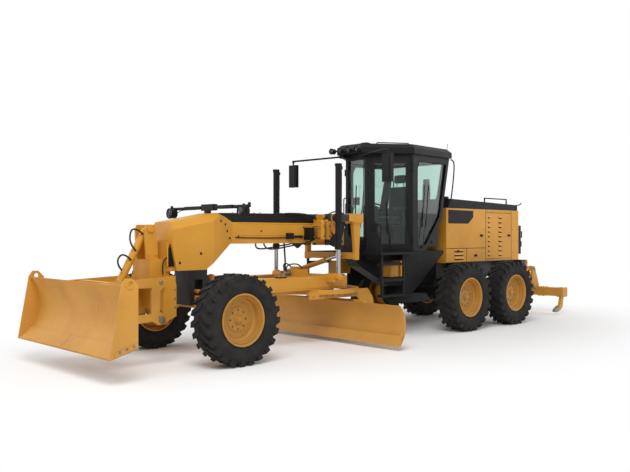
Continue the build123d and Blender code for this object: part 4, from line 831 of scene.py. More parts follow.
# ---------------------------------------------------------------- front frame: lamps and beam
lamp_parts = bmesh.new()
head_lens = bmesh.new()
for side in (1, -1):
    middle = side * LAMP_Y
    face = at(-0.210, middle, 2.06)
    turned(lamp_parts, face, AHEAD, [(-0.012, 0.0755), (-0.012, 0.081), (0.010, 0.081), (0.010, 0.070),
                                     (-0.001, 0.066), (-0.001, 0.0)], 36)
    turned(head_lens, face, AHEAD, [(0.0005, 0.0655), (0.006, 0.062), (0.011, 0.045), (0.013, 0.0)], 36)
    # stirrup that holds the lamp below its bar
    block(lamp_parts, at(-0.275, middle - 0.010, 2.13), at(-0.245, middle + 0.010, 2.162))
    for y in (middle + 0.082, middle - 0.088):
        plate(lamp_parts, y, 0.006, oblong(-0.275, -0.245, 2.03, 2.13))
piece("headlamp_rims", lamp_parts, "black", "front", edge=0.0012)
piece("headlamp_lenses", head_lens, "lens", "front", smooth=True)
pipes("headlamp_cables", both([(-0.315, LAMP_Y, 2.06), (-0.37, 0.88, 2.08), (-0.33, 0.80, 2.112),
                               (-0.30, 0.55, 2.108), (-0.30, 0.30, 2.108)]), 0.006, "hose", "front")

# beam: bolts of its cover, weld seams along the box and bolts over the front axle
beam_bolts = bmesh.new()
for back in (0.80, 1.22, 1.64, 2.06, 2.42):
    for side in (1, -1):
        bolt(beam_bolts, at(-back, side * 0.075, 2.0700), UP, 0.010)
piece("beam_bolts", beam_bolts, "black", "front", edge=0.0008)
WELD_Y = 0.1280
WELD = [(0, 0.0025), (0.004, 0.0055), (1.78, 0.0055), (1.784, 0.0025)]
welds = bmesh.new()
for side in (1, -1):
    for z in (1.728, 1.905):
        turned(welds, at(-0.75, side * WELD_Y, z), BACK, WELD, 10)
    side_bolts(welds, side * WELD_Y, 0.011, [(0.13, 1.60), (-0.13, 1.60), (0.13, 1.36), (-0.13, 1.36)])
piece("beam_welds", welds, "yellow", "front")

# ---------------------------------------------------------------- front blade and its mount
# edge, middle and top of the blade's face: ahead of the front axle, height
DOZER_ARC = ((1.960, 0.310), (1.690, 0.640), (1.800, 1.150))
DOZER_END = 1.279


def dozer_face(z, out=0.0):
    """Point of the front blade's face at a height: the arc through its edge, middle and top."""
    (ax, az), (bx, bz), (cx, cz) = DOZER_ARC
    a_square, b_square, c_square = (ahead ** 2 + height ** 2 for ahead, height in DOZER_ARC)
    twice = 2 * (ax * (bz - cz) + bx * (cz - az) + cx * (az - bz))
    x = (a_square * (bz - cz) + b_square * (cz - az) + c_square * (az - bz)) / twice
    y = (a_square * (cx - bx) + b_square * (ax - cx) + c_square * (bx - ax)) / twice
    ahead = x - math.sqrt(math.hypot(ax - x, az - y) ** 2 - (z - y) ** 2)
    normal = Vector((x - ahead, y - z)).normalized()
    return ahead + normal.x * out, z + normal.y * out


# cutting edge in two halves, bolted along its face
EDGE_LINE = [(0.316, 0.0005), (0.38, 0.0005), (0.455, 0.0005), (0.455, 0.014), (0.38, 0.016), (0.316, 0.010)]
EDGE_BOLTS = 14
edge_strips = bmesh.new()
edge_bolts = bmesh.new()
for low_y, high_y in ((-DOZER_END, -0.004), (0.004, DOZER_END)):
    plate(edge_strips, low_y, high_y - low_y, [dozer_face(z, out) for z, out in EDGE_LINE])
ahead, z = dozer_face(0.405, 0.014)
next_ahead, next_z = dozer_face(0.405, 0.034)
for k in range(EDGE_BOLTS):
    turned(edge_bolts, at(ahead, -1.20 + 2.40 * k / (EDGE_BOLTS - 1), z), (next_ahead - ahead, 0, next_z - z),
           [(-0.002, 0.016), (0.004, 0.015), (0.006, 0.009), (0.006, 0.0)], 16)
piece("dozer_edge", edge_strips, "blade_yellow", "dozer_blade", edge=0.002)
piece("dozer_edge_bolts", edge_bolts, "blade_yellow", "dozer_blade")

plates = bmesh.new()
plate_bolts = bmesh.new()
for side in (1, -1):
    face = side * 1.300
    across = (0, side, 0)
    # wear strip along the end plate's lower edge, and a doubler round the lifting eye
    plate(plates, face, side * 0.010, [(1.615, 0.425), (1.90, 0.335), (1.90, 0.395), (1.615, 0.480)])
    turned(plates, at(1.705, face, 1.165), across, [(0.0, 0.036), (0.0, 0.060), (0.008, 0.058), (0.008, 0.036)], 32,
           hoop=True)
    side_bolts(plate_bolts, face + side * 0.010, 0.012, [(1.66, 0.450), (1.75, 0.423), (1.84, 0.396)])
    # weld bead between the end plate and the blade's top
    turned(plates, at(1.772, side * DOZER_END, 1.152), across,
           [(0, 0.004), (0.001, 0.008), (-0.006, 0.008), (-0.007, 0.003)], 10)
piece("end_plate_strips", plates, "blade_yellow", "dozer_blade", edge=0.002)
piece("end_plate_bolts", plate_bolts, "bolt", "dozer_blade")

# upright and level stiffeners behind the blade, from its rear face to the frame plates
RIB_LINE = [(1.668, 0.42), (1.655, 0.62), (1.655, 0.78), (1.700, 1.02),
            (1.650, 1.02), (1.600, 0.78), (1.600, 0.60), (1.625, 0.42)]
ribs = bmesh.new()
for y in (-1.00, -0.72, 0.72, 1.00):
    plate(ribs, y, 0.016, RIB_LINE)
for ahead, z in ((1.690, 0.50), (1.655, 0.80), (1.735, 1.09)):
    block(ribs, at(ahead - 0.075, -1.275, z - 0.009), at(ahead + 0.004, 1.275, z + 0.009))
piece("blade_stiffeners", ribs, "yellow", "dozer_blade", edge=0.002)

pins, mount_bolts, tower = (bmesh.new() for _ in range(3))
for side in (1, -1):
    across = (0, side, 0)
    # frame pins with their lock bolts, and the mount's bolts on the side frame
    turned(pins, at(0.768, side * 0.482, 0.613), across, pin_head(-0.010, 0.002, 0.046, 0.030, 0.014), 28)
    side_bolts(pins, side * 0.4705, 0.008, [(0.815, 0.655)])
    side_bolts(mount_bolts, side * 0.425, 0.013, [(0.545, z) for z in (0.76, 0.88, 1.00)])
    # tower: its pin, bolts and the gussets at its foot
    face = side * 0.135
    turned(tower, at(0.740, face, 1.80), across, pin_head(0.0, 0.012, 0.048, 0.034, 0.028), 28)
    side_bolts(tower, face, 0.009, [(0.700, 1.84)])
    side_bolts(tower, face, 0.012, [(0.66, 1.46), (0.77, 1.46)])
    gusset = [(0.64, 0.135, 1.40), (0.79, 0.135, 1.40), (0.77, 0.215, 1.40), (0.66, 0.215, 1.40)]
    slab(tower, places(gusset, side), UP, 0.012)
piece("dozer_frame_pins", pins, "bolt", "front", edge=0.001)
piece("mount_bolts", mount_bolts, "bolt", "front")
piece("tower_pins", tower, "yellow", "front", edge=0.0015)
pipes("dozer_hoses", [places([(0.800, 0.052, 1.74), (0.960, 0.060, 1.860), (1.030, 0.070, 1.740),
                              (1.010, 0.070, 1.600), (0.915, 0.054, 1.520)]),
                      places([(0.985, 0.052, 1.395), (1.095, 0.070, 1.490), (1.190, 0.080, 1.460),
                              (1.215, 0.080, 1.350), (1.125, 0.056, 1.262)])], 0.012, "hose", "dozer_barrel")
pipes("mount_hoses", both([(0.50, 0.255, 1.42), (0.60, 0.275, 1.46), (0.66, 0.272, 1.36), (0.62, 0.255, 1.20)]),
      0.010, "hose", "front")

# ---------------------------------------------------------------- moldboard
MOLD_END, MOLD_BOLTS, GUSSETS = 1.830, 18, 7
EDGE_WAY = Vector((0.052, 0, -0.156)).normalized()
EDGE_OUT = Vector((0.156, 0, 0.052)).normalized()
WORN_EDGE = [(-2.4255, 0.070), (-2.4690, 0.200), (-2.4775, 0.2262), (-2.4755, 0.2268), (-2.4235, 0.0712)]
END_BIT = [(-2.462, 0.075), (-2.430, 0.075), (-2.462, 0.19), (-2.497, 0.28), (-2.520, 0.28), (-2.485, 0.16)]
GUSSET = ((-2.635, -0.05), (-2.582, -0.05), (-2.562, 0.0), (-2.540, 0.05), (-2.600, 0.05))
mold_bolts, mold_steel, bits, gussets = (bmesh.new() for _ in range(4))
for k in range(MOLD_BOLTS):
    place = at(-2.478, -1.74 + 3.48 * k / (MOLD_BOLTS - 1), 0.226) + EDGE_WAY * 0.028
    turned(mold_bolts, place, EDGE_OUT, [(-0.002, 0.015), (0.004, 0.014), (0.006, 0.008), (0.006, 0.0)], 16)
piece("moldboard_bolts", mold_bolts, "blade_yellow", "moldboard")
# worn face of the cutting edge, and the end bits bolted over it
for low_y, high_y in ((-1.828, -0.612), (-0.608, 0.608), (0.612, 1.828)):
    plate(mold_steel, low_y, high_y - low_y, WORN_EDGE)
piece("moldboard_edge", mold_steel, "blade_yellow", "moldboard", edge=0.0006)
for side in (1, -1):
    plate(bits, side * MOLD_END, side * 0.012, END_BIT)
    side_bolts(bits, side * (MOLD_END + 0.012), 0.010, [(-2.458, 0.115), (-2.488, 0.205)])
piece("moldboard_end_bits", bits, "blade_yellow", "moldboard", edge=0.0008)
# gussets behind the blade, under its lower slide rail and over its upper one
for rail_z, up in ((0.215, -1), (0.545, 1)):
    for k in range(GUSSETS):
        y = -1.38 + 2.76 * k / (GUSSETS - 1) - 0.006
        plate(gussets, y, 0.012, [(ahead, rail_z + up * rise) for ahead, rise in GUSSET])
piece("moldboard_gussets", gussets, "yellow", "moldboard", edge=0.0015)

# ---------------------------------------------------------------- circle, drawbar and their cylinders
CIRCLE_MIDDLE = at(-CIRCLE_BACK, 0, 0.806)
TEETH = 84
teeth = bmesh.new()
for cosine, sine in around(TEETH, 0):
    way, aside = Vector((cosine, sine, 0)), Vector((-sine, cosine, 0))
    root, tip = CIRCLE_MIDDLE + way * 0.6905, CIRCLE_MIDDLE + way * 0.664
    slab(teeth, [root - aside * 0.017, tip - aside * 0.008, tip + aside * 0.008, root + aside * 0.017], UP, 0.060)
piece("circle_teeth", teeth, "steel", "circle", edge=0.001)
circle_bolts = bmesh.new()
for side in (1, -1):
    for back in (1.84, 1.98, 2.12, 2.26, 2.40, 2.54, 2.68, 2.78):
        bolt(circle_bolts, at(-back, side * 0.620, 0.775), (0, side, 0), 0.012)
    turned(circle_bolts, at(-2.930, side * 0.637, 0.430), (0, side, 0),
           pin_head(-0.016, 0.004, 0.050, 0.034, 0.016), 28)
piece("circle_bolts", circle_bolts, "bolt", "circle", edge=0.0008)

shoes, drawbar_bolts, drawbar_edges = (bmesh.new() for _ in range(3))
for y in (-0.47, 0.47):
    for back in (1.30, 2.56):
        block(shoes, at(-back - 0.075, y - 0.050, 1.0725), at(-back + 0.075, y + 0.050, 1.094))
        for shift in (-0.045, 0.045):
            bolt(drawbar_bolts, at(-back + shift, y, 1.094), UP, 0.012)
for back in (1.885, 2.165):
    for y in (-0.40, -0.30, -0.20, 0.20, 0.30, 0.40):
        bolt(drawbar_bolts, at(-back, y, 1.0700), UP, 0.013)
for cosine, sine in around(8):
    bolt(drawbar_bolts, at(-2.030 + 0.066 * cosine, 0.066 * sine, 1.215), UP, 0.007)
# hydraulic motor of the circle's drive, lying forward
turned(drawbar_bolts, at(-1.890, 0.0, 1.120), AHEAD, [(0.0, 0.050), (0.012, 0.050), (0.012, 0.038), (0.110, 0.038),
                                                      (0.118, 0.030), (0.118, 0.0)], 28)
# edge plate on each of the drawbar's arms, and the ring of the lift cylinder's ball
for side in (1, -1):
    arm = [(-0.905, 0.521, 0.90), (-2.60, 0.559, 0.90), (-2.60, 0.559, 0.93), (-0.905, 0.521, 0.93)]
    slab(drawbar_edges, places(arm, side), (0, side, 0), 0.006)
    turned(drawbar_edges, at(-LIFT_BACK, side * (0.710 - 0.004), LIFT_EYE_Z), (0, side, 0),
           [(-0.010, 0.062), (0.0, 0.062), (0.003, 0.058), (0.003, 0.040)], 28)
piece("drawbar_shoes", shoes, "black", "drawbar", edge=0.002)
piece("drawbar_bolts", drawbar_bolts, "bolt", "drawbar", edge=0.0008)
piece("drawbar_edges", drawbar_edges, "yellow", "drawbar", edge=0.0015)
pipes("drive_hoses", both([(-1.80, 0.022, 1.158), (-1.78, 0.03, 1.24), (-1.86, 0.10, 1.28),
                           (-2.00, 0.14, 1.26), (-2.06, 0.12, 1.175)]), 0.011, "hose", "drawbar")

TRUNNION_RING = [(0.0, 0.0500), (0.004, 0.063), (0.136, 0.063), (0.140, 0.0500)]
GLAND_RING = [(0.002, 0.040), (-0.006, 0.042), (-0.006, 0.056), (0.002, 0.058)]
EYE_COLLAR = [(0.0, 0.050), (0.003, 0.060), (0.070, 0.060), (0.073, 0.050)]
EYE_CAP = [(0.0, 0.052), (0.012, 0.052), (0.016, 0.046), (0.016, 0.018), (0.024, 0.016), (0.024, 0.0)]
SADDLE_CAP = [(-0.004, 0.066), (0.010, 0.066), (0.010, 0.048), (0.004, 0.046)]
saddle_bolts = bmesh.new()
saddle_caps = bmesh.new()
for hand, side in HANDS:
    y = side * LIFT_Y
    across = (0, side, 0)
    bands = bmesh.new()
    turned(bands, at(-LIFT_BACK, y, 1.930), UP, TRUNNION_RING, 36, hoop=True)
    turned(bands, at(-LIFT_BACK, y, 1.505), UP, GLAND_RING, 36, hoop=True)
    for cosine, sine in around(8):
        bolt(bands, at(-LIFT_BACK + 0.046 * cosine, y + 0.046 * sine, 2.850), UP, 0.007)
    # port blocks and the clips of the pipe between them
    for z in (2.760, 1.600):
        block(bands, at(-2.330, y - 0.018, z), at(-2.296, y + 0.018, z + 0.050))
    for z in (2.20, 2.55):
        block(bands, at(-2.322, y - 0.012, z - 0.012), at(-2.292, y + 0.012, z + 0.012))
    piece("lift_cylinder_bands_" + hand, bands, "black", "lift_barrel_" + hand, edge=0.0012)
    pipe = places([(-2.313, y, 2.785), (-2.322, y, 2.70), (-2.316, y, 2.50), (-2.316, y, 2.20), (-2.316, y, 2.08)])
    pipes("lift_cylinder_pipes_" + hand, [pipe], 0.009, "black", "lift_barrel_" + hand)
    collar = bmesh.new()
    turned(collar, at(-LIFT_BACK, y - 0.0365, LIFT_EYE_Z), (0, 1, 0), EYE_COLLAR, 32, hoop=True)
    turned(collar, at(-LIFT_BACK, side * 0.7865, LIFT_EYE_Z), across, EYE_CAP, 32)
    piece("lift_rod_eye_" + hand, collar, "yellow", "lift_rod_" + hand, edge=0.001)
    # trunnion caps on the saddle's forks
    fork = side * 0.650
    turned(saddle_caps, at(-LIFT_BACK, fork, 2.000), across, SADDLE_CAP, 36, hoop=True)
    side_bolts(saddle_bolts, fork, 0.009,
               [(-LIFT_BACK + shift, 2.000 + rise) for rise in (0.035, -0.035) for shift in (0.0625, -0.0625)])
piece("saddle_caps", saddle_caps, "yellow", "front", edge=0.0012)
piece("saddle_bolts", saddle_bolts, "bolt", "front")
# hoses looping from the saddle to the valve blocks, the last six in a fan on each side
SADDLE_LOOPS = [
    [(-2.34, 0.30, 1.95), (-2.30, 0.40, 2.02), (-2.32, 0.50, 2.10), (-2.42, 0.60, 2.12), (-2.50, 0.62, 2.062)],
    [(-2.40, 0.30, 1.80), (-2.36, 0.36, 1.66), (-2.46, 0.40, 1.58), (-2.62, 0.30, 1.66), (-2.66, 0.185, 1.78)],
    [(-2.46, 0.30, 1.74), (-2.44, 0.35, 1.60), (-2.56, 0.36, 1.53), (-2.70, 0.24, 1.62), (-2.72, 0.183, 1.74)],
    [(-2.30, 0.20, 1.985), (-2.22, 0.20, 2.06), (-2.05, 0.135, 2.085), (-1.70, 0.112, 2.070)],
]
SADDLE_FAN = [[(-2.42 - 0.03 * k, 0.30, 1.70), (-2.36 - 0.03 * k, 0.36 + 0.02 * k, 1.585 - 0.015 * k),
               (-2.33 - 0.03 * k, 0.50, 1.565 - 0.02 * k), (-2.35 - 0.03 * k, 0.590, 1.70),
               (-2.40 - 0.03 * k, 0.600, 1.945)] for k in range(6)]
pipes("saddle_hoses", both(*SADDLE_LOOPS, *SADDLE_FAN), 0.011, "hose", "front")
pipes("beam_hoses", both(*[[(-0.70, 0.112 + 0.022 * k, 1.700 - 0.006 * k), (-1.30, 0.112 + 0.022 * k, 1.672),
                            (-1.90, 0.116 + 0.022 * k, 1.690), (-2.24, 0.160 + 0.022 * k, 1.700)] for k in (0, 1)]),
      0.009, "hose", "front")
# two rows of couplings on each valve block, and the ribs on its front
valve_trim = bmesh.new()
for side in (1, -1):
    for k in range(4):
        for z, sizes in ((1.84, ((0.014, 0.020), (0.030, 0.013))), (1.76, ((0.010, 0.016), (0.024, 0.010)))):
            turned(valve_trim, at(-2.300 - k * 0.062, side * 0.300, z), (0, side, 0), stepped(*sizes), 14)
    for k in range(5):
        low = 1.725 + k * 0.034
        block(valve_trim, at(-2.2590, side * 0.215 - 0.07, low), at(-2.2540, side * 0.215 + 0.07, low + 0.012))
piece("valve_fittings", valve_trim, "bolt", "front", edge=0.0008)

# ---------------------------------------------------------------- steps, tandems, ripper and engine end
treads = bmesh.new()
side_boxes = bmesh.new()
for side in (1, -1):
    for z in (0.735, 0.995, 1.255):
        for k in range(9):
            back = 3.17 + k * 0.0575
            block(treads, at(-back - 0.018, side * 0.790, z), at(-back + 0.018, side * 0.890, z + 0.007))
    for k in range(13):
        back = 3.15 + k * 0.077
        block(treads, at(-back - 0.022, side * 0.53, 1.440), at(-back + 0.022, side * 0.88, 1.446))
    side_bolts(treads, side * 0.900, 0.010, [(-hanger, z) for hanger in (3.125, 3.680) for z in (1.36, 1.40)])
    for front, rear, top in ((3.52, 3.72, 1.26), (3.78, 3.90, 1.29)):
        block(side_boxes, at(-rear, side * 0.56, 1.02), at(-front, side * 0.74, top))
piece("step_treads", treads, "black", "front", edge=0.0015)
rail("step_grips", both([(-3.10, 0.885, 1.44), (-3.10, 0.885, 1.90), (-3.10, 0.80, 1.90), (-3.10, 0.80, 1.44)]),
     0.012, "black", "front")
piece("side_boxes", side_boxes, "yellow", "front", edge=0.008)

tandem_trim, tandem_inner, tandem_bolts = (bmesh.new() for _ in range(3))
for side in (1, -1):
    face = side * 0.850
    side_bolts(tandem_bolts, face, 0.012, [(-back, z) for back in (5.45, 5.75, 6.08, 6.38) for z in (0.820, 0.400)])
    # covers on the cases' inner faces, black as painted shade like the faces round them
    for centre in (MID_BACK, REAR_BACK):
        turned(tandem_inner, at(-centre, side * 0.640, AXLE_Z), (0, -side, 0),
               [(0.0, 0.150), (0.010, 0.148), (0.014, 0.090), (0.014, 0.0)], 36)
    # filler plug and its ring on the case's top, and the cover on its side
    turned(tandem_trim, at(-5.917, side * 0.745, 0.863), UP,
           [(-0.004, 0.045), (0.010, 0.043), (0.010, 0.026), (0.032, 0.024), (0.032, 0.0)], 24)
    plate(tandem_trim, face, side * 0.008, oblong(-5.62, -6.21, 0.48, 0.74))
piece("tandem_covers", tandem_trim, "yellow", "rear", edge=0.003)
piece("tandem_inner_covers_painted_shade", tandem_inner, "black", "rear", edge=0.003)
piece("tandem_bolts", tandem_bolts, "bolt", "rear")

# ripper: wear tips, sockets of the beam and the heads of its pins
TIP_LINE = [(-8.730, 0.082), (-8.765, 0.126), (-8.900, 0.188), (-8.905, 0.074), (-8.775, 0.056)]
RIPPER_HEAD = pin_head(-0.004, 0.008, 0.044, 0.030, 0.020)
RIPPER_PIN_HEIGHTS = (0.985, 0.560)
tips, sockets, ripper_pins, frame_pins = (bmesh.new() for _ in range(4))
for y in (-0.90, 0.0, 0.90):
    plate(tips, y - 0.040, 0.080, TIP_LINE)
    bolt(ripper_pins, at(-(RIPPER_REAR - 0.105), y + 0.030, 0.400), (0, 1, 0), 0.014)
for y in (-0.90, -0.45, 0.0, 0.45, 0.90):
    for low, high in ((y - 0.062, y - 0.034), (y + 0.034, y + 0.062)):
        block(sockets, at(-RIPPER_REAR - 0.012, low, 0.375), at(-RIPPER_REAR + 0.215, high, 0.580))
for y in (-0.955, 0.955):
    block(sockets, at(-RIPPER_REAR - 0.006, y - 0.02, 0.41), at(-RIPPER_REAR, y + 0.02, 0.55))
for side in (1, -1):
    face = side * 0.325
    for z in RIPPER_PIN_HEIGHTS:
        turned(ripper_pins, at(-RIPPER_MAST_PIN, face, z), (0, side, 0), RIPPER_HEAD, 24)
        turned(frame_pins, at(-RIPPER_FRAME_PIN, face, z), (0, side, 0), RIPPER_HEAD, 24)
    side_bolts(frame_pins, face, 0.008, [(-RIPPER_FRAME_PIN + 0.052, z) for z in RIPPER_PIN_HEIGHTS])
    side_bolts(frame_pins, side * 0.560, 0.014, [(-back, z) for back in (8.02, 8.12, 8.20) for z in (0.92, 1.14)])
piece("ripper_tips", tips, "steel", "ripper", edge=0.004)
piece("ripper_sockets", sockets, "yellow", "ripper", edge=0.003)
piece("ripper_pins", ripper_pins, "bolt", "ripper")
piece("ripper_frame_pins", frame_pins, "bolt", "rear")
pipes("ripper_hoses", both([(-8.232, 0.10, 1.10), (-8.30, 0.11, 1.12), (-8.36, 0.10, 1.02),
                            (-8.34, 0.085, 0.92), (-8.28, 0.085, 0.84)]), 0.011, "hose", "rear")

# guard mesh over the fan grille between its posts, and the rear lamps' lenses
mesh_guard, rear_lens, rear_amber = (bmesh.new() for _ in range(3))
for side in (1, -1):
    block(rear_lens, at(-8.0635, side * 0.464, 1.485), at(-8.0600, side * 0.516, 1.540))
    block(rear_amber, at(-8.0635, side * 0.464, 1.545), at(-8.0600, side * 0.516, 1.595))
    block(mesh_guard, at(-8.000, side * 0.40, 1.42), at(-7.985, side * 0.45, 1.86))
for k in range(15):
    turned(mesh_guard, at(-7.995, -0.45, 1.430 + k * 0.030), (0, 1, 0), [(0.0, 0.004), (0.90, 0.004)], 8)
for k in range(29):
    turned(mesh_guard, at(-7.989, -0.42 + k * 0.030, 1.41), UP, [(0.0, 0.003), (0.46, 0.003)], 6)
piece("grille_mesh", mesh_guard, "black", "rear")
piece("rear_lamp_lenses", rear_lens, "red", "rear", edge=0.001)
piece("rear_turn_lenses", rear_amber, "amber", "rear", edge=0.001)
# engine fan with twisted blades in its shroud
FAN_BACK, FAN_Z = 7.710, 1.75
fan = bmesh.new()
turned(fan, at(-7.70, 0, FAN_Z), BACK, [(0.0, 0.0), (0.0, 0.055), (0.030, 0.055), (0.040, 0.030), (0.040, 0.0)], 28)
for cosine, sine in around(7, 0):
    way, lift = Vector((0, cosine, sine)), Vector((0, -sine, cosine))
    root, tip = (at(-FAN_BACK, 0, FAN_Z) + way * radius for radius in (0.05, 0.31))
    slab(fan, [root - lift * 0.03 + Vector((0.012, 0, 0)), tip - lift * 0.065 + Vector((0.020, 0, 0)),
               tip + lift * 0.065 - Vector((0.020, 0, 0)), root + lift * 0.03 - Vector((0.012, 0, 0))], BACK, 0.004)
turned(fan, at(-7.690, 0, FAN_Z), BACK, [(0.0, 0.325), (0.0, 0.335), (0.06, 0.340), (0.06, 0.325)], 48, hoop=True)
piece("engine_fan", fan, "plastic", "rear")

# ---------------------------------------------------------------- nose and beam fittings
TAPER_IN, TAPER_LENGTH = 0.1725, 0.461
NOSE_WAY = Vector((TAPER_IN, TAPER_LENGTH, 0)).normalized()
COVER_END = [(-0.40, 1.99), (-0.40, 2.035), (-0.47, 2.055), (-0.76, 2.060), (-0.76, 1.925), (-0.60, 1.925)]
ACCUMULATOR = [(0.0, 0.0), (0.004, 0.030), (0.030, 0.044), (0.300, 0.044), (0.330, 0.030), (0.334, 0.0)]
ACCUMULATORS_BACK = (2.300, 2.420)


def button(build, place, direction, radius, height):
    """Round plug with a narrower top."""
    turned(build, place, direction, [(0.0, radius), (height, radius - 0.001), (height, 0.0)], 18)


dark, uprights, caps = (bmesh.new() for _ in range(3))
for side in (1, -1):
    across = (0, side, 0)
    beam_face = side * BEAM_SIDE
    for ahead, z in ((0.033, 1.471), (0.381, 1.347)):
        button(dark, at(ahead, side * NOSE_SIDE, z), across, 0.020, 0.003)
    # plugs on the nose's tapered sides and along the beam
    for back, z in ((0.361, 1.931), (0.468, 1.884), (0.515, 1.788), (0.579, 1.683)):
        y = NOSE_SIDE - (back - 0.180) * TAPER_IN / TAPER_LENGTH
        button(dark, at(-back, side * y, z), (-NOSE_WAY.x, side * NOSE_WAY.y, 0), 0.019, 0.004)
    for back, z in ((0.760, 1.709), (1.199, 1.791), (1.582, 1.689), (2.081, 1.851)):
        button(dark, at(-back, beam_face, z), across, 0.016, 0.003)
    # connector box, block and couplings on the beam's side
    block(dark, at(-1.830, beam_face, 1.665), at(-1.700, side * 0.175, 1.760))
    block(dark, at(-2.190, beam_face, 1.650), at(-2.090, side * 0.260, 1.850))
    for k in range(3):
        turned(dark, at(-1.900 - k * 0.055, beam_face, 1.70), across, stepped((0.020, 0.022), (0.050, 0.015)), 16)
    # black block filling the recess beside the mount, as painted shade in the recess, and the thin upright before it
    block(dark, at(0.440, side * 0.226, 1.302), at(0.540, side * 0.262, 1.560))
    block(uprights, at(0.550, side * 0.252, 1.302), at(0.570, side * 0.276, 1.600))
    # accumulators on each valve block, with their clamps and the clamps' bolts
    for back in ACCUMULATORS_BACK:
        turned(uprights, at(-back, side * 0.345, 1.640), UP, ACCUMULATOR, 24)
        for z in (1.70, 1.86):
            block(uprights, at(-back - 0.050, side * 0.300, z), at(-back + 0.050, side * 0.350, z + 0.030))
            bolt(caps, at(-back, side * 0.388, z + 0.015), across, 0.016)
    # pin heads of the blade frame's upper joints
    turned(caps, at(0.781, side * 0.470, 1.108), across,
           [(0.0, 0.030), (0.010, 0.030), (0.014, 0.024), (0.014, 0.0)], 28)
# cover's front end on the nose
plate(dark, -0.094, 0.188, COVER_END)
# lamp bar's middle box, sleeves and end markers
block(dark, at(-0.345, -0.13, 2.085), at(-0.265, 0.17, 2.178))
for side in (1, -1):
    plate(dark, side * 0.17, side * 0.42, oblong(-0.335, -0.275, 2.106, 2.156))
    turned(dark, at(-0.300, side * 0.965, 2.110), UP,
           [(0.0, 0.020), (0.050, 0.022), (0.070, 0.016), (0.070, 0.0)], 18)
piece("dark_fittings_and_recess_shade", dark, "black", "front", edge=0.0015)
piece("valve_accumulators", uprights, "yellow", "front", edge=0.002)
piece("bright_caps", caps, "bolt", "front", edge=0.001)
pipes("under_beam_hoses", both([(-1.27, 0.10, 1.60), (-1.28, 0.12, 1.52), (-1.40, 0.13, 1.505),
                                (-1.60, 0.13, 1.525), (-1.80, 0.13, 1.560), (-1.96, 0.13, 1.57),
                                (-2.12, 0.16, 1.60), (-2.24, 0.24, 1.66), (-2.33, 0.30, 1.78)]),
      0.012, "hose", "front")
# hose down to the circle's drive, stretched between the beam and the drawbar
hose_path = places([(-1.730, 0.05, 1.605), (-1.735, 0.05, 1.50), (-1.760, 0.045, 1.36),
                    (-1.762, 0.04, 1.24), (-1.765, 0.03, 1.165)])
hose_curve = pipes("drive_hose_path", [hose_path], 0.014, "hose", None)
hose_mesh = bpy.data.meshes.new_from_object(hose_curve.evaluated_get(bpy.context.evaluated_depsgraph_get()))
bpy.data.objects.remove(hose_curve)
drive_hose = settle(bpy.data.objects.new("drive_hose", hose_mesh), "hose", None)
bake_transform(drive_hose)

# ---------------------------------------------------------------- inside the cab
CLOTH_STEPS = 20


def stuffed(name, build, voxel, cap, key, body):
    """Stuffed cushion: a plain form is remeshed, blown up like a closed bag, held within a cap and smoothed."""
    mesh = bpy.data.meshes.new(name)
    bmesh.ops.recalc_face_normals(build, faces=build.faces[:])
    build.to_mesh(mesh)
    build.free()
    made = bpy.data.objects.new(name, mesh)
    scene.collection.objects.link(made)
    remesh = made.modifiers.new("remesh", "REMESH")
    remesh.mode = "VOXEL"
    remesh.voxel_size = voxel
    shaped = bpy.data.meshes.new_from_object(made.evaluated_get(bpy.context.evaluated_depsgraph_get()))
    made.modifiers.clear()
    made.data = shaped
    start = [vertex.co.copy() for vertex in shaped.vertices]
    cloth = made.modifiers.new("cloth", "CLOTH")
    cloth.settings.quality = 4
    cloth.settings.mass = 0.3
    cloth.settings.use_pressure = True
    cloth.settings.uniform_pressure_force = 4.0
    cloth.settings.effector_weights.gravity = 0.0
    for step in range(1, CLOTH_STEPS + 1):
        scene.frame_set(step)
    swollen = made.evaluated_get(bpy.context.evaluated_depsgraph_get()).to_mesh()
    moves = [after.co - before for after, before in zip(swollen.vertices, start)]
    made.modifiers.clear()
    scene.frame_set(1)
    for vertex, before, move in zip(shaped.vertices, start, moves):
        vertex.co = before + move * min(1.0, cap / max(move.length, 1e-9))
    finer = made.modifiers.new("finer", "SUBSURF")
    finer.levels = 1
    finer.render_levels = 1
    scene.collection.objects.unlink(made)
    shaped.materials.clear()
    settle(made, key, body, smooth=True)
    return made


def pad(build, low, high, edge, turn=None):
    """Block with wide rounded edges."""
    block(build, low, high, turn)
    bmesh.ops.bevel(build, geom=build.edges[:] + build.verts[:], offset=edge, segments=3, profile=0.5, affect="EDGES")


SEAT_HINGE = at(-4.56, 0, 1.99)
SEAT_LEAN = (Matrix.Translation(SEAT_HINGE) @ Matrix.Rotation(math.radians(-4.0), 4, "Y")
             @ Matrix.Translation(-SEAT_HINGE))
cushion_build = bmesh.new()
pad(cushion_build, at(-4.545, -0.245, 1.955), at(-4.065, 0.245, 2.050), 0.030)
cushion = stuffed("seat_cushion", cushion_build, 0.009, 0.012, "cloth", "front")
back_build = bmesh.new()
pad(back_build, at(-4.640, -0.235, 2.020), at(-4.545, 0.235, 2.640), 0.030, SEAT_LEAN)
stuffed("seat_backrest", back_build, 0.010, 0.012, "cloth", "front")
head_build = bmesh.new()
pad(head_build, at(-4.640, -0.130, 2.700), at(-4.560, 0.130, 2.850), 0.028, SEAT_LEAN)
stuffed("seat_headrest", head_build, 0.010, 0.010, "cloth", "front")

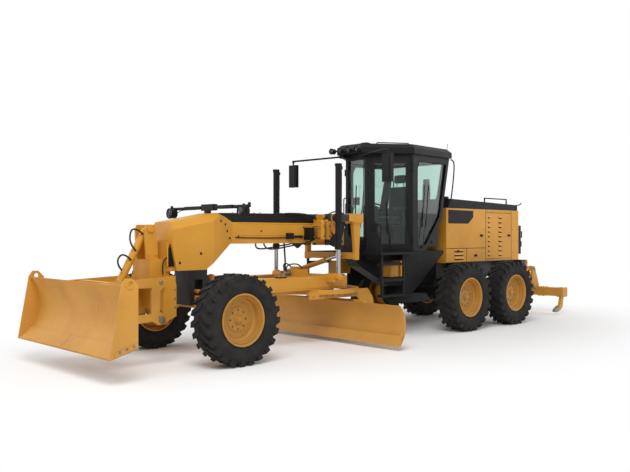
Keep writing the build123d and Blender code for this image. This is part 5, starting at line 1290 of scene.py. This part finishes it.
LEVER = [(0.0, 0.030), (0.012, 0.026), (0.016, 0.009), (0.080, 0.008),
         (0.086, 0.020), (0.150, 0.024), (0.165, 0.016), (0.168, 0.0)]
ARM_Y, ARM_TOP = 0.305, 2.225
seat_frame = bmesh.new()
block(seat_frame, at(-4.55, -0.22, 1.905), at(-4.10, 0.22, 1.945))
block(seat_frame, at(-4.42, -0.17, CAB_FLOOR), at(-4.10, 0.17, 1.545))
plate(seat_frame, -0.20, 0.40, [(-4.655, 1.92), (-4.625, 1.92), (-4.672, 2.62), (-4.692, 2.62)])
for y in (-0.08, 0.08):
    turned(seat_frame, at(-4.655, y, 2.60), (-0.07, 0, 1), [(0.0, 0.007), (0.14, 0.007)], 12)
for side in (1, -1):
    # armrest pod on its post, with a lever and four knobs
    block(seat_frame, at(-4.50, side * 0.265, 2.180), at(-4.05, side * 0.345, ARM_TOP))
    block(seat_frame, at(-4.40, side * 0.285, 1.93), at(-4.32, side * 0.325, 2.18))
    turned(seat_frame, at(-4.10, side * ARM_Y, ARM_TOP), (0.15, 0, 1), LEVER)
    for k in range(4):
        turned(seat_frame, at(-4.18 - k * 0.035, side * ARM_Y, ARM_TOP), UP,
               [(0.0, 0.010), (0.008, 0.010), (0.010, 0.007), (0.010, 0.0)], 12)
piece("seat_frame", seat_frame, "plastic", "front", edge=0.004)
# bellows in eleven folds under the seat
folds = [(0.015 + 0.030 * k + 0.015 * j, 0.125 if j else 0.150) for k in range(11) for j in (0, 1)]
bellows = bmesh.new()
turned(bellows, at(-4.26, 0, 1.545), UP, [(0.0, 0.130)] + folds + [(0.355, 0.140)], 40)
piece("seat_bellows", bellows, "seal", "front")
piping = bmesh.new()
for z in (1.962, 2.043):
    ring = [at(-4.540, -0.249, z), at(-4.070, -0.249, z), at(-4.052, -0.225, z),
            at(-4.052, 0.225, z), at(-4.070, 0.249, z), at(-4.540, 0.249, z)]
    for first, second in zip(ring, ring[1:]):
        way = second - first
        turned(piping, first, way, [(0.0, 0.0), (0.0, 0.0035), (way.length, 0.0035), (way.length, 0.0)], 8)
piece("seat_piping", piping, "cloth", "front", smooth=True)
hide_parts("seat")

# steering wheel: rim, hub and three spokes, on its column
WHEEL_WAY = (-0.35, 0, 0.94)
WHEEL_MIDDLE = at(-3.965, 0, 2.235)
COLUMN_FOOT = at(-3.90, 0, 2.05)
wheel_parts = bmesh.new()
rim_profile = [(0.014 * sine, 0.185 + 0.014 * cosine) for cosine, sine in around(12, 0)]
turned(wheel_parts, WHEEL_MIDDLE, WHEEL_WAY, rim_profile, 56, hoop=True)
turned(wheel_parts, WHEEL_MIDDLE, WHEEL_WAY, [(-0.050, 0.0), (-0.050, 0.045), (0.004, 0.048), (0.012, 0.035),
                                              (0.012, 0.0)], 28)
wheel_turn = standing(WHEEL_MIDDLE, WHEEL_WAY)
for cosine, sine in around(3, 0.75):
    way, aside = Vector((cosine, sine, 0)), Vector((-sine, cosine, 0))
    outline = [way * 0.035 - aside * 0.022, way * 0.180 - aside * 0.014,
               way * 0.180 + aside * 0.014, way * 0.035 + aside * 0.022]
    slab(wheel_parts, [wheel_turn @ (point + Vector((0, 0, -0.006))) for point in outline], WHEEL_WAY, 0.010)
turned(wheel_parts, COLUMN_FOOT, WHEEL_MIDDLE - COLUMN_FOOT, [(0.0, 0.0), (0.0, 0.040), (0.15, 0.034), (0.15, 0.0)])
# levers below the wheel, pedals, and the dash hood on the console
for side in (1, -1):
    turned(wheel_parts, at(-3.93, side * 0.03, 2.14), (0.02, side * 0.9, 0.25),
           [(0.0, 0.0), (0.0, 0.006), (0.15, 0.006), (0.155, 0.012), (0.20, 0.012), (0.20, 0.0)], 12)
    block(wheel_parts, at(-3.72, side * 0.10 - 0.045, 1.55), at(-3.70, side * 0.10 + 0.045, 1.70))
plate(wheel_parts, -0.13, 0.26, [(-3.76, 2.12), (-3.90, 2.12), (-3.93, 2.15), (-3.80, 2.27), (-3.76, 2.25)])
# display on the right front post, and its arm
block(wheel_parts, at(-3.93, -0.54, 2.28), at(-3.89, -0.36, 2.42))
turned(wheel_parts, at(-3.91, -0.45, 2.28), (0.3, -0.35, -1.0),
       [(0.0, 0.0), (0.0, 0.010), (0.30, 0.010), (0.30, 0.0)], 12)
piece("steering_wheel", wheel_parts, "plastic", "front")
screen = bmesh.new()
block(screen, at(-3.9325, -0.530, 2.292), at(-3.9300, -0.370, 2.408))
slab(screen, [at(-3.9052, -0.10, 2.1285), at(-3.9052, 0.10, 2.1285), at(-3.8120, 0.10, 2.2600),
              at(-3.8120, -0.10, 2.2600)], (-0.8, 0, 0.55), 0.003)
piece("displays", screen, "glass_dark", "front")
# ribbed mat round the seat's foot
RUBBER_LOW, RUBBER_TOP = 1.511, 1.519
floor_mat = bmesh.new()
block(floor_mat, at(-4.92, -0.60, RUBBER_LOW), at(-4.44, 0.60, RUBBER_TOP))
block(floor_mat, at(-4.08, -0.60, RUBBER_LOW), at(-3.92, 0.60, RUBBER_TOP))
for side in (1, -1):
    block(floor_mat, at(-4.44, side * 0.18, RUBBER_LOW), at(-4.08, side * 0.60, RUBBER_TOP))
for k in range(28):
    y = -0.58 + k * 0.043
    block(floor_mat, at(-4.90, y - 0.006, RUBBER_TOP), at(-4.46, y + 0.006, 1.522))
piece("floor_mat", floor_mat, "seal", "front")
# side pods, the lining under the rear window and the headlining
lining = bmesh.new()
for side in (1, -1):
    block(lining, at(-4.95, side * 0.50, CAB_FLOOR), at(-4.62, side * 0.66, 1.86))
block(lining, at(-4.95, -0.50, CAB_FLOOR), at(-4.75, 0.50, 1.70))
block(lining, at(-4.95, -0.60, 3.09), at(-4.00, 0.60, 3.135))
piece("cab_lining", lining, "plastic", "front", edge=0.012)
